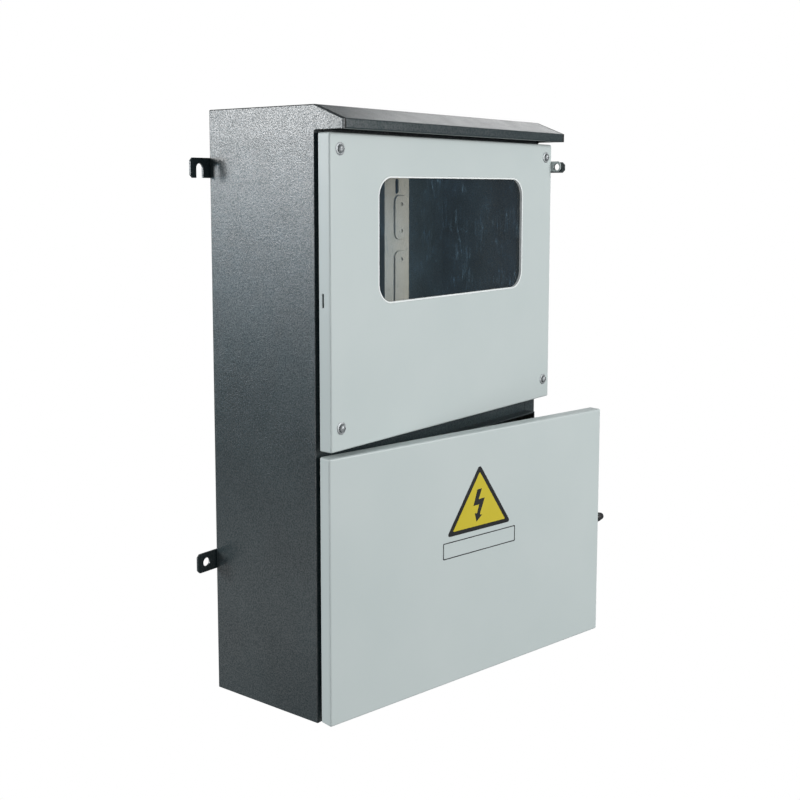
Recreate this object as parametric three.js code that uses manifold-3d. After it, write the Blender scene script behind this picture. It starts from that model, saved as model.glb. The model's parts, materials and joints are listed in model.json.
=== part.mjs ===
// Wall-mounted sheet steel combiner box for a solar array: a powder-coated body with a sloping rain
// hood, a screwed upper cover with a clear window over a meter space, and a hinged lower door over
// the switchgear. Millimetres, +Z up, +X to the right, +Y into the wall. The origin is on the wall
// plane (the rear faces of the wall ears), mid-width, level with the bottom of the body.
import * as THREE from 'three';
import { mergeVertices } from 'three/addons/utils/BufferGeometryUtils.js';
import Module from 'manifold-3d';

const wasm = await Module();
wasm.setup();

// ---- driving dimensions -------------------------------------------------------------------------
const GAP = 0.3;                 // clearance kept between touching pieces
const SHEET = 1.5;               // body and leaf sheet
const EAR_T = 2.5;               // space behind the body, filled by the ears
const BODY = { w: 400, h: 600, d: 140 };
const BACK = -EAR_T;             // rear face of the body
const RIM = BACK - BODY.d;       // front face of the body's rim
const HALF = BODY.w / 2;

const OPENING = { x: 178, z0: 18, z1: 562 };     // clear opening inside the rim
const GUTTER_FRONT = -155.4;                     // front edge of the gutter upstands
const BAR = { z0: 254, z1: 285.5, back: -121 };  // cross bar between the two compartments

const HOOD = { nose: -178.8, noseZ: 585.85, lipZ: 576.7, flangeZ: 580 };

const LEAF = { front: -162.2, depth: 14.4, bend: 2 };
const COVER = { x0: -199.7, x1: 199.1, z0: 272.8, z1: 573.9 };
const DOOR = { x0: -199.7, x1: 198.4, z0: 1.9, z1: 267.2 };
const WINDOW = { x0: -129, x1: 136, z0: 408.6, z1: 534.4, r: 21 };
const PANE_T = 3;
const GASKET = { half: 4, depth: 5 };            // foam band that the gutter presses into

const HINGE = { x: -193.3, y: -152, barrel: 3.2, pin: 1.6, bore: 1.75, h: 50, bottoms: [40, 185] };
const AJAR = THREE.MathUtils.degToRad(11.4);     // the door stands ajar at rest

const LATCH = { y: -155, z: 135.2, shaft: 3, hole: 3.3 };
const SCREW = { x: 185.5, zs: [295, 558.8], shank: 2.5, clear: 3, head: 3.9 };

const EAR = { reach: 225, inner: 178, h: 20, hole: 4.5, holeX: 213, boltX: 188 };
const EAR_Z = { upper: 542.5, lower: 139 };
const LUG = { y: -168.5, z: 547.8, hole: 4 };

const PLATE = { x: 180, z0: 28, z1: 244, front: -14, back: -12.5 };
const RAIL = { x: 165, z: 160, back: -14.3, front: -21.8 };
const GEAR_BACK = RAIL.front - GAP;              // rear face of everything clipped on the rail
const GLAND_XS = [-90, 0, 90];
const GLAND = { y: -72, thread: 12.2, hole: 12.5, bore: 7.5, drop: 25 };

// ---- materials ----------------------------------------------------------------------------------
function finish(color, roughness, metalness) {
  return new THREE.MeshStandardMaterial({ color, roughness, metalness });
}

const bodyPaint = () => finish(0x3c484a, 0.45, 0.1);
const leafPaint = () => finish(0xbbc4c2, 0.4, 0.05);
const zinc = () => finish(0xb9bcbb, 0.3, 0.9);
const steel = () => finish(0x9a9d9d, 0.35, 0.9);
const galvanised = () => finish(0xa9aeb0, 0.45, 0.8);
const stripPaint = () => finish(0xb7ab97, 0.5, 0.1);
const rubber = () => finish(0x17191a, 0.8, 0);
const clear = () => finish(0x8fa0a8, 0.05, 0);
const blackPlastic = () => finish(0x18191a, 0.4, 0);
const palePlastic = () => finish(0xd6d7d3, 0.45, 0);
const redPlastic = () => finish(0xb02a22, 0.4, 0);
const yellowPlastic = () => finish(0xe0b428, 0.4, 0);
const brass = () => finish(0xb8964c, 0.3, 0.9);
const insulation = (color) => finish(color, 0.5, 0);

// ---- solids -------------------------------------------------------------------------------------
// Turns a closed three.js geometry into a solid that can be joined and cut.
function solid(geometry) {
  const source = geometry.index ? geometry : geometry.clone();
  source.deleteAttribute('normal');
  source.deleteAttribute('uv');
  const merged = mergeVertices(source, 1e-4);
  return new wasm.Manifold(new wasm.Mesh({
    numProp: 3,
    vertProperties: Float32Array.from(merged.attributes.position.array),
    triVerts: Uint32Array.from(merged.index.array),
  }));
}

// Turns a solid back into a geometry with flat faces.
function geometryOf(body) {
  const mesh = body.getMesh();
  const geometry = new THREE.BufferGeometry();
  geometry.setAttribute('position', new THREE.BufferAttribute(mesh.vertProperties, 3));
  geometry.setIndex(new THREE.BufferAttribute(mesh.triVerts, 1));
  geometry.computeVertexNormals();
  return geometry;
}

function box(x0, x1, y0, y1, z0, z1) {
  const geometry = new THREE.BoxGeometry(x1 - x0, y1 - y0, z1 - z0);
  geometry.translate((x0 + x1) / 2, (y0 + y1) / 2, (z0 + z1) / 2);
  return solid(geometry);
}

const AXES = {
  x: [new THREE.Vector3(0, 1, 0), new THREE.Vector3(0, 0, 1), new THREE.Vector3(1, 0, 0)],
  y: [new THREE.Vector3(0, 0, 1), new THREE.Vector3(1, 0, 0), new THREE.Vector3(0, 1, 0)],
  z: [new THREE.Vector3(1, 0, 0), new THREE.Vector3(0, 1, 0), new THREE.Vector3(0, 0, 1)],
};

// Extrudes a shape along an axis from a to b. The shape's own two axes follow the extrusion axis in
// turn: (y, z) along x, (z, x) along y and (x, y) along z.
function prism(shape, axis, a, b, segments = 6) {
  const flat = shape instanceof THREE.Shape ? shape : outline(shape);
  const geometry = new THREE.ExtrudeGeometry(flat, {
    depth: b - a, bevelEnabled: false, steps: 1, curveSegments: segments,
  });
  geometry.translate(0, 0, a);
  geometry.applyMatrix4(new THREE.Matrix4().makeBasis(...AXES[axis]));
  return solid(geometry);
}

function outline(points) {
  return new THREE.Shape(points.map(([u, v]) => new THREE.Vector2(u, v)));
}

function roundRect(u0, u1, v0, v1, r) {
  const shape = new THREE.Shape();
  shape.moveTo(u0 + r, v0);
  shape.lineTo(u1 - r, v0);
  shape.absarc(u1 - r, v0 + r, r, -Math.PI / 2, 0);
  shape.lineTo(u1, v1 - r);
  shape.absarc(u1 - r, v1 - r, r, 0, Math.PI / 2);
  shape.lineTo(u0 + r, v1);
  shape.absarc(u0 + r, v1 - r, r, Math.PI / 2, Math.PI);
  shape.lineTo(u0, v0 + r);
  shape.absarc(u0 + r, v0 + r, r, Math.PI, Math.PI * 1.5);
  return shape;
}

// A round bar along an axis, centred on (u, v) in the plane across it.
function rod(axis, u, v, r, a, b, sides = 20) {
  const shape = new THREE.Shape();
  shape.absarc(u, v, r, 0, Math.PI * 2);
  return prism(shape, axis, a, b, sides / 2);
}

// A solid turned about an axis from a closed profile of [radius, height] points.
function turned(axis, u, v, profile, sides = 20) {
  const points = profile.map(([r, h]) => new THREE.Vector2(r, h));
  const geometry = new THREE.LatheGeometry(points, sides);
  geometry.rotateX(Math.PI / 2);
  geometry.translate(u, v, 0);
  geometry.applyMatrix4(new THREE.Matrix4().makeBasis(...AXES[axis]));
  const body = solid(geometry);
  return body.volume() < 0 ? solid(flipped(geometry)) : body;
}

function flipped(geometry) {
  const index = geometry.index.array;
  for (let i = 0; i < index.length; i += 3) {
    [index[i], index[i + 1]] = [index[i + 1], index[i]];
  }
  return geometry;
}

function hexagon(radius) {
  return Array.from({ length: 6 }, (_, i) => {
    const angle = (i * Math.PI) / 3;
    return [radius * Math.cos(angle), radius * Math.sin(angle)];
  });
}

function union(pieces) {
  return pieces.reduce((whole, piece) => whole.add(piece));
}

function cut(body, tools) {
  return tools.reduce((rest, tool) => rest.subtract(tool), body);
}

// ---- scene graph --------------------------------------------------------------------------------
const combinerBox = new THREE.Group();

function place(name, body, material, parent = combinerBox) {
  const mesh = new THREE.Mesh(geometryOf(body), material);
  mesh.name = name;
  parent.add(mesh);
  return mesh;
}

// ---- body shell, hood and cross bar -------------------------------------------------------------
function bodyShell() {
  const cheek = [
    [RIM + 1, BODY.h - SHEET], [RIM + 1, BODY.h], [RIM, BODY.h], [HOOD.nose, HOOD.noseZ],
    [HOOD.nose, HOOD.lipZ], [RIM - 2.5, HOOD.lipZ], [RIM - 1, HOOD.lipZ - 0.5],
    [RIM, HOOD.lipZ - 2], [RIM + 1, HOOD.lipZ - 2],
  ];
  const ring = OPENING.x + SHEET;
  const shell = union([
    box(-HALF, HALF, RIM, BACK, 0, BODY.h)
      .subtract(box(-HALF + SHEET, HALF - SHEET, RIM + SHEET, BACK - SHEET, SHEET, BODY.h - SHEET)),
    box(-ring, ring, GUTTER_FRONT, RIM + 1, OPENING.z0 - SHEET, OPENING.z1 + SHEET),
    prism(cheek, 'x', -HALF, -HALF + SHEET),
    prism(cheek, 'x', HALF - SHEET, HALF),
  ]);
  const mouth = box(-OPENING.x, OPENING.x, GUTTER_FRONT - 1, RIM + SHEET + 1, OPENING.z0, OPENING.z1);
  const betweenLeaves = box(-ring - 1, ring + 1, GUTTER_FRONT - 1, RIM, BAR.z0 + SHEET, BAR.z1 - SHEET);
  const holes = [];
  for (const side of [-1, 1]) {
    for (const z of Object.values(EAR_Z)) {
      holes.push(rod('y', z, side * EAR.boltX, 3.3, BACK - SHEET - 1, BACK + 1));
    }
    for (const z of SCREW.zs) {
      holes.push(rod('y', z, side * SCREW.x, SCREW.clear, RIM - 1, RIM + SHEET + 1));
    }
  }
  for (const x of GLAND_XS) {
    holes.push(rod('z', x, GLAND.y, GLAND.hole, -1, SHEET + 1, 24));
  }
  return cut(shell, [mouth, betweenLeaves, ...holes]);
}

// One folded sheet: a flange down the rim, the slope, the lip and a short return under it.
function rainHood() {
  const top = RIM - GAP;
  const slope = (BODY.h - HOOD.noseZ) / (RIM - HOOD.nose);
  const start = BODY.h - GAP * slope;
  const profile = [
    [top, start], [HOOD.nose, HOOD.noseZ], [HOOD.nose, HOOD.lipZ], [HOOD.nose + 9, HOOD.lipZ],
    [HOOD.nose + 9, HOOD.lipZ + SHEET], [HOOD.nose + SHEET, HOOD.lipZ + SHEET],
    [HOOD.nose + SHEET, HOOD.noseZ - 1], [top - SHEET, start - 2.2], [top - SHEET, HOOD.flangeZ],
    [top, HOOD.flangeZ],
  ];
  return prism(profile, 'x', -HALF + SHEET + GAP, HALF - SHEET - GAP);
}

// A folded bar with a gutter upstand and a stiffening return along each edge.
function crossBar() {
  const x = OPENING.x - GAP;
  return union([
    box(-x, x, RIM, RIM + SHEET, BAR.z0, BAR.z1),
    box(-x, x, GUTTER_FRONT, BAR.back, BAR.z0, BAR.z0 + SHEET),
    box(-x, x, GUTTER_FRONT, BAR.back, BAR.z1 - SHEET, BAR.z1),
  ]);
}

// ---- wall ears ----------------------------------------------------------------------------------
// Upper ears have a slot open at the bottom, so that the box hangs on its bolts; lower ears a hole.
function wallEar(side, z, slotted) {
  const reach = side * EAR.reach;
  const inner = side * EAR.inner;
  const chamfer = 3;
  const z0 = z - EAR.h / 2;
  const z1 = z + EAR.h / 2;
  const points = [
    [z0, inner], [z1, inner], [z1, reach - side * chamfer], [z1 - chamfer, reach],
    [z0 + chamfer, reach], [z0, reach - side * chamfer],
  ];
  const plate = prism(side < 0 ? points : points.reverse(), 'y', BACK + GAP, 0);
  const holeX = side * EAR.holeX;
  const tools = [
    rod('y', z, side * EAR.boltX, 3.3, BACK - 1, 1),
    rod('y', z, holeX, EAR.hole, BACK - 1, 1, 32),
  ];
  if (slotted) {
    tools.push(box(holeX - EAR.hole, holeX + EAR.hole, BACK - 1, 1, z0 - 1, z));
  }
  return cut(plate, tools);
}

// Hexagon bolt from inside the body through its back wall into the ear.
function earBolt(side, z) {
  const x = side * EAR.boltX;
  const inside = BACK - SHEET;
  const head = prism(hexagon(5.8).map(([u, v]) => [z + u, x + v]), 'y', inside - 4.5, inside - GAP);
  return head.add(rod('y', z, x, 3, inside - 1, -0.4));
}

// ---- leaves -------------------------------------------------------------------------------------
// A folded tray, open at the back, with its front edges rounded by the bend.
function tray(leaf) {
  const { front, depth, bend } = LEAF;
  const flat = outline([
    [leaf.z0 + bend, leaf.x0 + bend], [leaf.z1 - bend, leaf.x0 + bend],
    [leaf.z1 - bend, leaf.x1 - bend], [leaf.z0 + bend, leaf.x1 - bend],
  ]);
  const geometry = new THREE.ExtrudeGeometry(flat, {
    depth: depth + bend, bevelSize: bend, bevelThickness: bend, bevelSegments: 3, steps: 1,
  });
  geometry.translate(0, 0, front + bend);
  geometry.applyMatrix4(new THREE.Matrix4().makeBasis(...AXES.y));
  return cut(solid(geometry), [
    box(leaf.x0 - 1, leaf.x1 + 1, front + depth, front + depth * 2, leaf.z0 - 1, leaf.z1 + 1),
    box(leaf.x0 + SHEET, leaf.x1 - SHEET, front + SHEET, front + depth + 1,
      leaf.z0 + SHEET, leaf.z1 - SHEET),
  ]);
}

function upperCover() {
  const tools = [
    prism(roundRect(WINDOW.z0, WINDOW.z1, WINDOW.x0, WINDOW.x1, WINDOW.r), 'y',
      LEAF.front - 1, LEAF.front + SHEET + 1, 12),
    box(COVER.x0 - 1, COVER.x0 + SHEET + 1, -153.7, -151.4, 410.7, 424),
  ];
  for (const side of [-1, 1]) {
    for (const z of SCREW.zs) {
      tools.push(rod('y', z, side * SCREW.x, SCREW.clear, LEAF.front - 1, LEAF.front + SHEET + 1));
    }
  }
  return cut(tray(COVER), tools);
}

// A rectangular foam ring on the back of a leaf, centred on the gutter that it seals against.
function gasket(z0, z1) {
  const x = OPENING.x + SHEET / 2;
  const y0 = LEAF.front + SHEET + GAP;
  const y1 = GUTTER_FRONT - GAP;
  const h = GASKET.half;
  return box(-x - h, x + h, y0, y1, z0 - h, z1 + h)
    .subtract(box(-x + h, x - h, y0 - 1, y1 + 1, z0 + h, z1 - h));
}

// Foam tape ring that beds the pane against the back of the cover.
function windowSeal() {
  const { x0, x1, z0, z1, r } = WINDOW;
  const y0 = LEAF.front + SHEET + GAP;
  const shape = roundRect(z0 - 11, z1 + 11, x0 - 11, x1 + 11, 6);
  shape.holes.push(roundRect(z0 - 2, z1 + 2, x0 - 2, x1 + 2, r + 2));
  return prism(shape, 'y', y0, y0 + 1, 4);
}

function windowPane() {
  const { x0, x1, z0, z1 } = WINDOW;
  const y0 = LEAF.front + SHEET + 1 + 2 * GAP;
  return prism(roundRect(z0 - 12, z1 + 12, x0 - 12, x1 + 12, 5), 'y', y0, y0 + PANE_T, 4);
}

// Pan head machine screw that passes through the cover and the rim behind it.
function coverScrew(x, z) {
  const seat = LEAF.front - 1.4;
  const recess = box(x - 2.4, x + 2.4, seat - 4, seat - 1.6, z - 0.5, z + 0.5)
    .add(box(x - 0.5, x + 0.5, seat - 4, seat - 1.6, z - 2.4, z + 2.4));
  const profile = [[0, seat - 2.6], [2.6, seat - 2.3], [SCREW.head, seat - 1], [SCREW.head, seat],
    [SCREW.shank, seat], [SCREW.shank, RIM + 8], [0, RIM + 8.8]];
  return turned('y', z, x, profile, 16).subtract(recess);
}

// Raised cup washer under the screw head.
function cupWasher(x, z) {
  const y = LEAF.front - GAP;
  const profile = [[2.8, y - 0.8], [4.4, y - 0.8], [6.1, y], [2.8, y], [2.8, y - 0.8]];
  return turned('y', z, x, profile, 28);
}

// ---- seal lugs ----------------------------------------------------------------------------------
function sealLug(x0, x1, front, back, z0, z1) {
  const r = 3;
  const side = outline([
    [back, z0], [back, z1], [front + r, z1], [front, z1 - r], [front, z0 + r], [front + r, z0],
  ].reverse());
  return prism(side, 'x', x0, x1).subtract(rod('x', LUG.y, LUG.z, LUG.hole, x0 - 1, x1 + 1, 28));
}

function bodySealLug() {
  const foot = box(HALF + GAP, HALF + 3.2, RIM + 3, RIM + 22, 541, 553.4);
  return sealLug(HALF + 1.2, HALF + 3.2, -178.5, RIM + 22, 541, 553.4).add(foot);
}

function coverSealLug() {
  return sealLug(COVER.x1 + GAP, HALF + 0.9, -174.5, -149, 542.6, 554.4);
}

// ---- hinges -------------------------------------------------------------------------------------
// Lift-off hinge: the lower knuckle is on the body with the pin, the upper one on the door.
function hingeBodyLeaf(bottom) {
  const { x, y, barrel, bore, h } = HINGE;
  const top = bottom + h / 2 - GAP;
  const foot = RIM - GAP;
  const leaf = union([
    rod('z', x, y, barrel, bottom, top),
    box(x + 2.5, x + 9.5, y - 1.2, y + 1.2, bottom, top),
    box(x + 8, x + 9.5, y - 1.2, foot, bottom, top),
    box(x + 8, -OPENING.x - SHEET - GAP, foot - SHEET, foot, bottom, bottom + h),
  ]);
  return leaf.subtract(rod('z', x, y, bore, bottom - 1, top + 1));
}

function hingePin(bottom) {
  return rod('z', HINGE.x, HINGE.y, HINGE.pin, bottom - 1.5, bottom + HINGE.h - 4);
}

// In the door's own frame, whose origin is on the hinge axis.
function hingeDoorLeaf(bottom) {
  const { barrel, bore, h } = HINGE;
  const side = DOOR.x0 + SHEET - HINGE.x + GAP;
  const face = LEAF.front + SHEET - HINGE.y + GAP;
  const low = bottom + h / 2 + GAP;
  const top = bottom + h;
  const leaf = union([
    rod('z', 0, 0, barrel, low, top),
    box(side, 0, -2, 2, low, top),
    box(side, side + 1, face, 3, bottom, top),
    box(side, 7, face, face + SHEET, bottom, top),
  ]);
  return leaf.subtract(rod('z', 0, 0, bore, low - 1, top - 2));
}

// ---- quarter-turn latch -------------------------------------------------------------------------
// In the latch's own frame: the axis runs along x, x = 0 is the outer face of the door's side.
function latchBarrel() {
  const profile = [[0, 14.5], [3.4, 14.5], [4.4, 11], [5.4, 7], [5.5, 1.8], [6.2, 1.6], [6.2, GAP],
    [LATCH.shaft, GAP], [LATCH.shaft, -7.2], [0, -7.2]];
  return turned('x', 0, 0, profile, 28);
}

// The arm points up while the door is free; its barb faces back.
function latchCam() {
  const arm = outline([[-2.5, 0], [2.5, 0], [2.5, 7], [6.2, 7], [6.2, 10], [-2.5, 10]]);
  return union([
    rod('x', 0, 0, 5.2, -6.2, -4.2),
    prism(arm, 'x', -6.2, -4.2),
  ]).subtract(rod('x', 0, 0, LATCH.hole, -7, -3));
}

// Bracket on the rim with a cross pin that the cam's barb swings behind.
function latchKeeper() {
  const foot = RIM - GAP;
  const pinY = LATCH.y + 5;
  const pinZ = LATCH.z - 4;
  const right = DOOR.x1 - SHEET - 0.7;
  const cheeks = [[right - 1.2, right], [right - 6.6, right - 5.4]];
  return union([
    box(OPENING.x + SHEET + 1.5, right, foot - SHEET, foot, pinZ - 8, pinZ + 8),
    ...cheeks.map(([a, b]) => box(a, b, pinY - 2.2, foot - 1, pinZ - 3.5, pinZ + 2.2)),
    rod('x', pinY, pinZ, 1.2, right - 6, right - 0.6, 12),
  ]);
}

// ---- inside -------------------------------------------------------------------------------------
// Folded upright in the meter space with a round hole, embossed pads and fixing slots.
function meterStrip(side) {
  const x0 = side < 0 ? -110 : 63;
  const x1 = x0 + 47;
  const z0 = 300;
  const z1 = 590;
  const mid = (x0 + x1) / 2;
  const face = -17.5;
  const strip = union([
    box(x0, x1, face, face + SHEET, z0, z1),
    box(x0, x0 + SHEET, face, BACK - SHEET - GAP, z0, z1),
    box(x1 - SHEET, x1, face, BACK - SHEET - GAP, z0, z1),
  ]);
  const tools = [rod('y', 556, mid, 9, face - 1, face + SHEET + 1, 28)];
  for (const z of [335, 385, 435, 485, 525]) {
    tools.push(prism(roundRect(z - 9, z + 9, mid - 3, mid + 3, 2.9), 'y', face - 1, face + 3, 3));
  }
  return cut(strip, tools);
}

function mountingPlate() {
  const posts = [];
  for (const x of [-150, 150]) {
    for (const z of [PLATE.z0 + 15, PLATE.z1 - 15]) {
      posts.push(rod('y', z, x, 6, PLATE.back - 0.5, BACK - SHEET - GAP, 12));
    }
  }
  return union([box(-PLATE.x, PLATE.x, PLATE.front, PLATE.back, PLATE.z0, PLATE.z1), ...posts]);
}

// 35 mm top-hat rail.
function dinRail() {
  const { back, front, z } = RAIL;
  const half = [[back, 0], [back, 12.5], [front + 1, 12.5], [front + 1, 17.5], [front, 17.5],
    [front, 11.5], [back - 1, 11.5], [back - 1, 0]];
  const lower = half.slice(1, -1).reverse().map(([y, v]) => [y, -v]);
  const points = [...half.slice(0, -1), half.at(-1), ...lower.slice(0)];
  const rail = prism(points.map(([y, v]) => [y, z + v]).reverse(), 'x', -RAIL.x, RAIL.x);
  const slots = [-150, -75, 0, 75, 150].map((x) => prism(
    roundRect(z - 3, z + 3, x - 9, x + 9, 2.9), 'y', back - 2, back + 1, 2));
  return cut(rail, slots);
}

// Rail-mounted switch disconnector with a stepped front.
const ISOLATOR = { x: -115, w: 70, front: -75 };
function isolatorBody() {
  const { x, w, front } = ISOLATOR;
  const z = RAIL.z;
  const side = [[GEAR_BACK, z - 40], [GEAR_BACK, z + 40], [-52, z + 43], [-58, z + 34],
    [front, z + 32], [front, z - 32], [-58, z - 34], [-52, z - 43]];
  const wells = [-25, -8.3, 8.3, 25].flatMap((dx) => [38.5, -38.5].map(
    (dz) => rod('y', z + dz, x + dx, 3.2, -60, -48, 8)));
  const boss = rod('y', z, x, 26, front - 2, front + 1, 24);
  return cut(prism(side, 'x', x - w / 2, x + w / 2).add(boss), wells);
}

function isolatorHandle() {
  const { front } = ISOLATOR;
  const disc = turned('y', 0, 0, [[0, front - 8], [20, front - 8], [22, front - 6],
    [22, front - 2 - GAP], [0, front - 2 - GAP]], 28);
  const grip = prism(roundRect(-5, 5, -21, 21, 4.5), 'y', front - 22, front - 7, 4);
  return disc.add(grip);
}

// Two-pole miniature circuit breaker.
const BREAKER = { x: -50, w: 36, front: -72, hubY: -69 };
function breakerBody() {
  const { x, w, front, hubY } = BREAKER;
  const z = RAIL.z;
  const side = [[GEAR_BACK, z - 40], [GEAR_BACK, z + 40], [-48, z + 43], [-62, z + 43],
    [-62, z + 23], [front, z + 22], [front, z - 22], [-62, z - 23], [-62, z - 43], [-48, z - 43]];
  const pocket = rod('x', hubY, z, 6.8, x - w / 2 + 2.5, x + w / 2 - 2.5, 20);
  const wells = [-9, 9].flatMap((dx) => [33, -33].map(
    (dz) => rod('y', z + dz, x + dx, 3.2, -64, -54, 10)));
  const groove = box(x - 0.4, x + 0.4, front - 1, front + 1.2, z - 43, z + 43);
  return cut(prism(side, 'x', x - w / 2, x + w / 2), [pocket, ...wells, groove]);
}

// In the toggle's own frame: the axis runs along x.
function breakerToggle() {
  const half = BREAKER.w / 2 - 3;
  const lever = outline([[-17, -5.5], [-16, -9], [-4, -5], [-3, 2]].reverse());
  return rod('x', 0, 0, 6, -half, half, 20).add(prism(lever, 'x', -half + 1, half - 1));
}

// Surge arrester base with two plug-in cartridges.
const SURGE = { x: -2, w: 36, seat: -44, front: -62 };
function surgeBase() {
  const { x, w, seat, front } = SURGE;
  const z = RAIL.z;
  const side = [[GEAR_BACK, z - 40], [GEAR_BACK, z + 40], [-48, z + 44], [front, z + 44],
    [front, z + 25], [seat, z + 25], [seat, z - 25], [front, z - 25], [front, z - 44],
    [-48, z - 44]];
  const wells = [-9, 9].flatMap((dx) => [35, -35].map(
    (dz) => rod('y', z + dz, x + dx, 3.2, front - 2, front + 9, 10)));
  return cut(prism(side, 'x', x - w / 2, x + w / 2), wells);
}

function surgeCartridge(x) {
  const z = RAIL.z;
  const y0 = SURGE.seat - GAP;
  const side = outline([[y0, z - 24.5], [y0, z + 24.5], [-68, z + 24.5], [-73, z + 19],
    [-73, z - 19], [-68, z - 24.5]]);
  return prism(side, 'x', x - 8.4, x + 8.4)
    .subtract(prism(roundRect(z - 10, z + 2, x - 4, x + 4, 1.5), 'y', -74, -72, 3));
}

// Ten feed-through terminals clamped together on the rail.
const TERMINALS = { x0: 40, pitch: 8, count: 10 };
function terminalBlock() {
  const { x0, pitch, count } = TERMINALS;
  const z = RAIL.z;
  const side = [[GEAR_BACK, z - 24], [GEAR_BACK, z + 24], [-44, z + 27], [-54, z + 18],
    [-62, z + 14], [-62, z - 14], [-54, z - 18], [-44, z - 27]];
  const body = prism(side, 'x', x0, x0 + pitch * count);
  const tools = [];
  for (let i = 0; i < count; i += 1) {
    const x = x0 + pitch * (i + 0.5);
    for (const dz of [9, -9]) {
      tools.push(rod('y', z + dz, x, 2.6, -64, -56, 6));
    }
    if (i > 0) {
      tools.push(box(x0 + pitch * i - 0.35, x0 + pitch * i + 0.35, -64, -58, z - 30, z + 30));
    }
  }
  return cut(body, tools);
}

// Brass earth bar on two feet with a row of clamp screws.
const EARTH = { x0: 30, x1: 150, z: 60, front: -34, count: 8 };
function earthBar() {
  const { x0, x1, z, front, count } = EARTH;
  const foot = PLATE.front - GAP;
  const pieces = [box(x0, x1, front, front + 9, z - 6, z + 6)];
  for (const x of [x0 + 8, x1 - 8]) {
    pieces.push(box(x - 6, x + 6, front + 8, foot, z - 6, z + 6));
  }
  const step = (x1 - x0 - 30) / (count - 1);
  for (let i = 0; i < count; i += 1) {
    pieces.push(rod('y', z, x0 + 15 + i * step, 3, front - 2.5, front + 1, 10));
  }
  return union(pieces);
}

// ---- wires --------------------------------------------------------------------------------------
// A tube of eight sides through hand-picked points.
function wire(points, radius) {
  const path = new THREE.CatmullRomCurve3(points.map((p) => new THREE.Vector3(...p)));
  const ring = Array.from({ length: 8 }, (_, i) => {
    const angle = (i * Math.PI) / 4;
    return [radius * Math.cos(angle), radius * Math.sin(angle)];
  });
  const steps = Math.max(8, Math.round(path.getLength() / (radius * 5)));
  return solid(new THREE.ExtrudeGeometry(outline(ring), { steps, extrudePath: path }));
}

const WIRE_R = 2.4;
const WIRES = [
  ['wire_positive', 0xa82a22, [[-140, -46, 116], [-140, -46, 108], [-132, -47, 98], [-100, -48, 94],
    [-68, -48, 98], [-59, -48, 108], [-59, -48, 116]]],
  ['wire_negative', 0x1c1d1e, [[-106.7, -38, 116], [-106.7, -37, 106], [-98, -36, 93], [-75, -36, 87],
    [-50, -36, 93], [-41, -37, 106], [-41, -38, 116]]],
  ['wire_surge_positive', 0xa82a22, [[-59, -50, 204], [-59, -50, 212], [-51, -50, 221],
    [-35, -50, 224], [-19, -50, 221], [-11, -50, 213], [-11, -50, 205]]],
  ['wire_surge_negative', 0x1c1d1e, [[-41, -38, 204], [-41, -38, 214], [-33, -38, 225],
    [-17, -38, 229], [-1, -38, 225], [7, -38, 214], [7, -38, 205]]],
  ['wire_earth', 0x4f8a35, [[-2, -46, 115], [-2, -46, 104], [2, -43, 88], [14, -34, 70],
    [22, -30, 62], [29, -29.5, 60]]],
];

// ---- cable glands -------------------------------------------------------------------------------
function gland(x) {
  const { y, thread, bore, drop } = GLAND;
  const flange = -GAP;
  const hex = prism(hexagon(16.5).map(([u, v]) => [x + u, y + v]), 'z', -8, flange);
  const dome = turned('z', x, y, [[0, -drop], [10.5, -drop], [13.4, -drop + 3], [14.6, -drop + 9],
    [14.6, -7], [0, -7]], 16);
  const shank = rod('z', x, y, thread, -2, 11, 16);
  return union([hex, dome, shank]).subtract(rod('z', x, y, bore, -drop - 1, 12, 16));
}

function glandNut(x) {
  const { y, hole } = GLAND;
  const hex = prism(hexagon(17).map(([u, v]) => [x + u, y + v]), 'z', SHEET + GAP, SHEET + 6);
  return hex.subtract(rod('z', x, y, hole + 0.3, 0, 12, 16));
}

// ---- assembly: fixed pieces ---------------------------------------------------------------------
place('body_shell', bodyShell(), bodyPaint());
place('rain_hood', rainHood(), bodyPaint());
place('cross_bar', crossBar(), bodyPaint());
place('body_seal_lug', bodySealLug(), bodyPaint());
place('latch_keeper', latchKeeper(), zinc());
for (const [sideName, side] of [['left', -1], ['right', 1]]) {
  for (const [level, z] of Object.entries(EAR_Z)) {
    place(`wall_ear_${level}_${sideName}`, wallEar(side, z, level === 'upper'), bodyPaint());
    place(`ear_bolt_${level}_${sideName}`, earBolt(side, z), zinc());
  }
  place(`meter_strip_${sideName}`, meterStrip(side), stripPaint());
}
HINGE.bottoms.forEach((bottom, i) => {
  place(`hinge_body_leaf_${i + 1}`, hingeBodyLeaf(bottom), steel());
  place(`hinge_pin_${i + 1}`, hingePin(bottom), zinc());
});
place('mounting_plate', mountingPlate(), galvanised());
place('din_rail', dinRail(), zinc());
place('isolator_body', isolatorBody(), palePlastic());
place('breaker_body', breakerBody(), palePlastic());
place('surge_base', surgeBase(), palePlastic());
place('terminal_block', terminalBlock(), palePlastic());
place('earth_bar', earthBar(), brass());
for (const [name, color, points] of WIRES) {
  place(name, wire(points, WIRE_R), insulation(color));
}
GLAND_XS.forEach((x, i) => {
  place(`gland_${i + 1}`, gland(x), blackPlastic());
  place(`gland_nut_${i + 1}`, glandNut(x), blackPlastic());
});

// ---- assembly: controls on the switchgear -------------------------------------------------------
const isolatorTurn = new THREE.Group();
isolatorTurn.position.set(ISOLATOR.x, 0, RAIL.z);
combinerBox.add(isolatorTurn);
place('isolator_handle', isolatorHandle(), redPlastic(), isolatorTurn);

const toggleTurn = new THREE.Group();
toggleTurn.position.set(BREAKER.x, BREAKER.hubY, RAIL.z);
combinerBox.add(toggleTurn);
place('breaker_toggle', breakerToggle(), blackPlastic(), toggleTurn);

[-9, 9].forEach((dx, i) => {
  place(`surge_cartridge_${i + 1}`, surgeCartridge(SURGE.x + dx), yellowPlastic());
});

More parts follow.
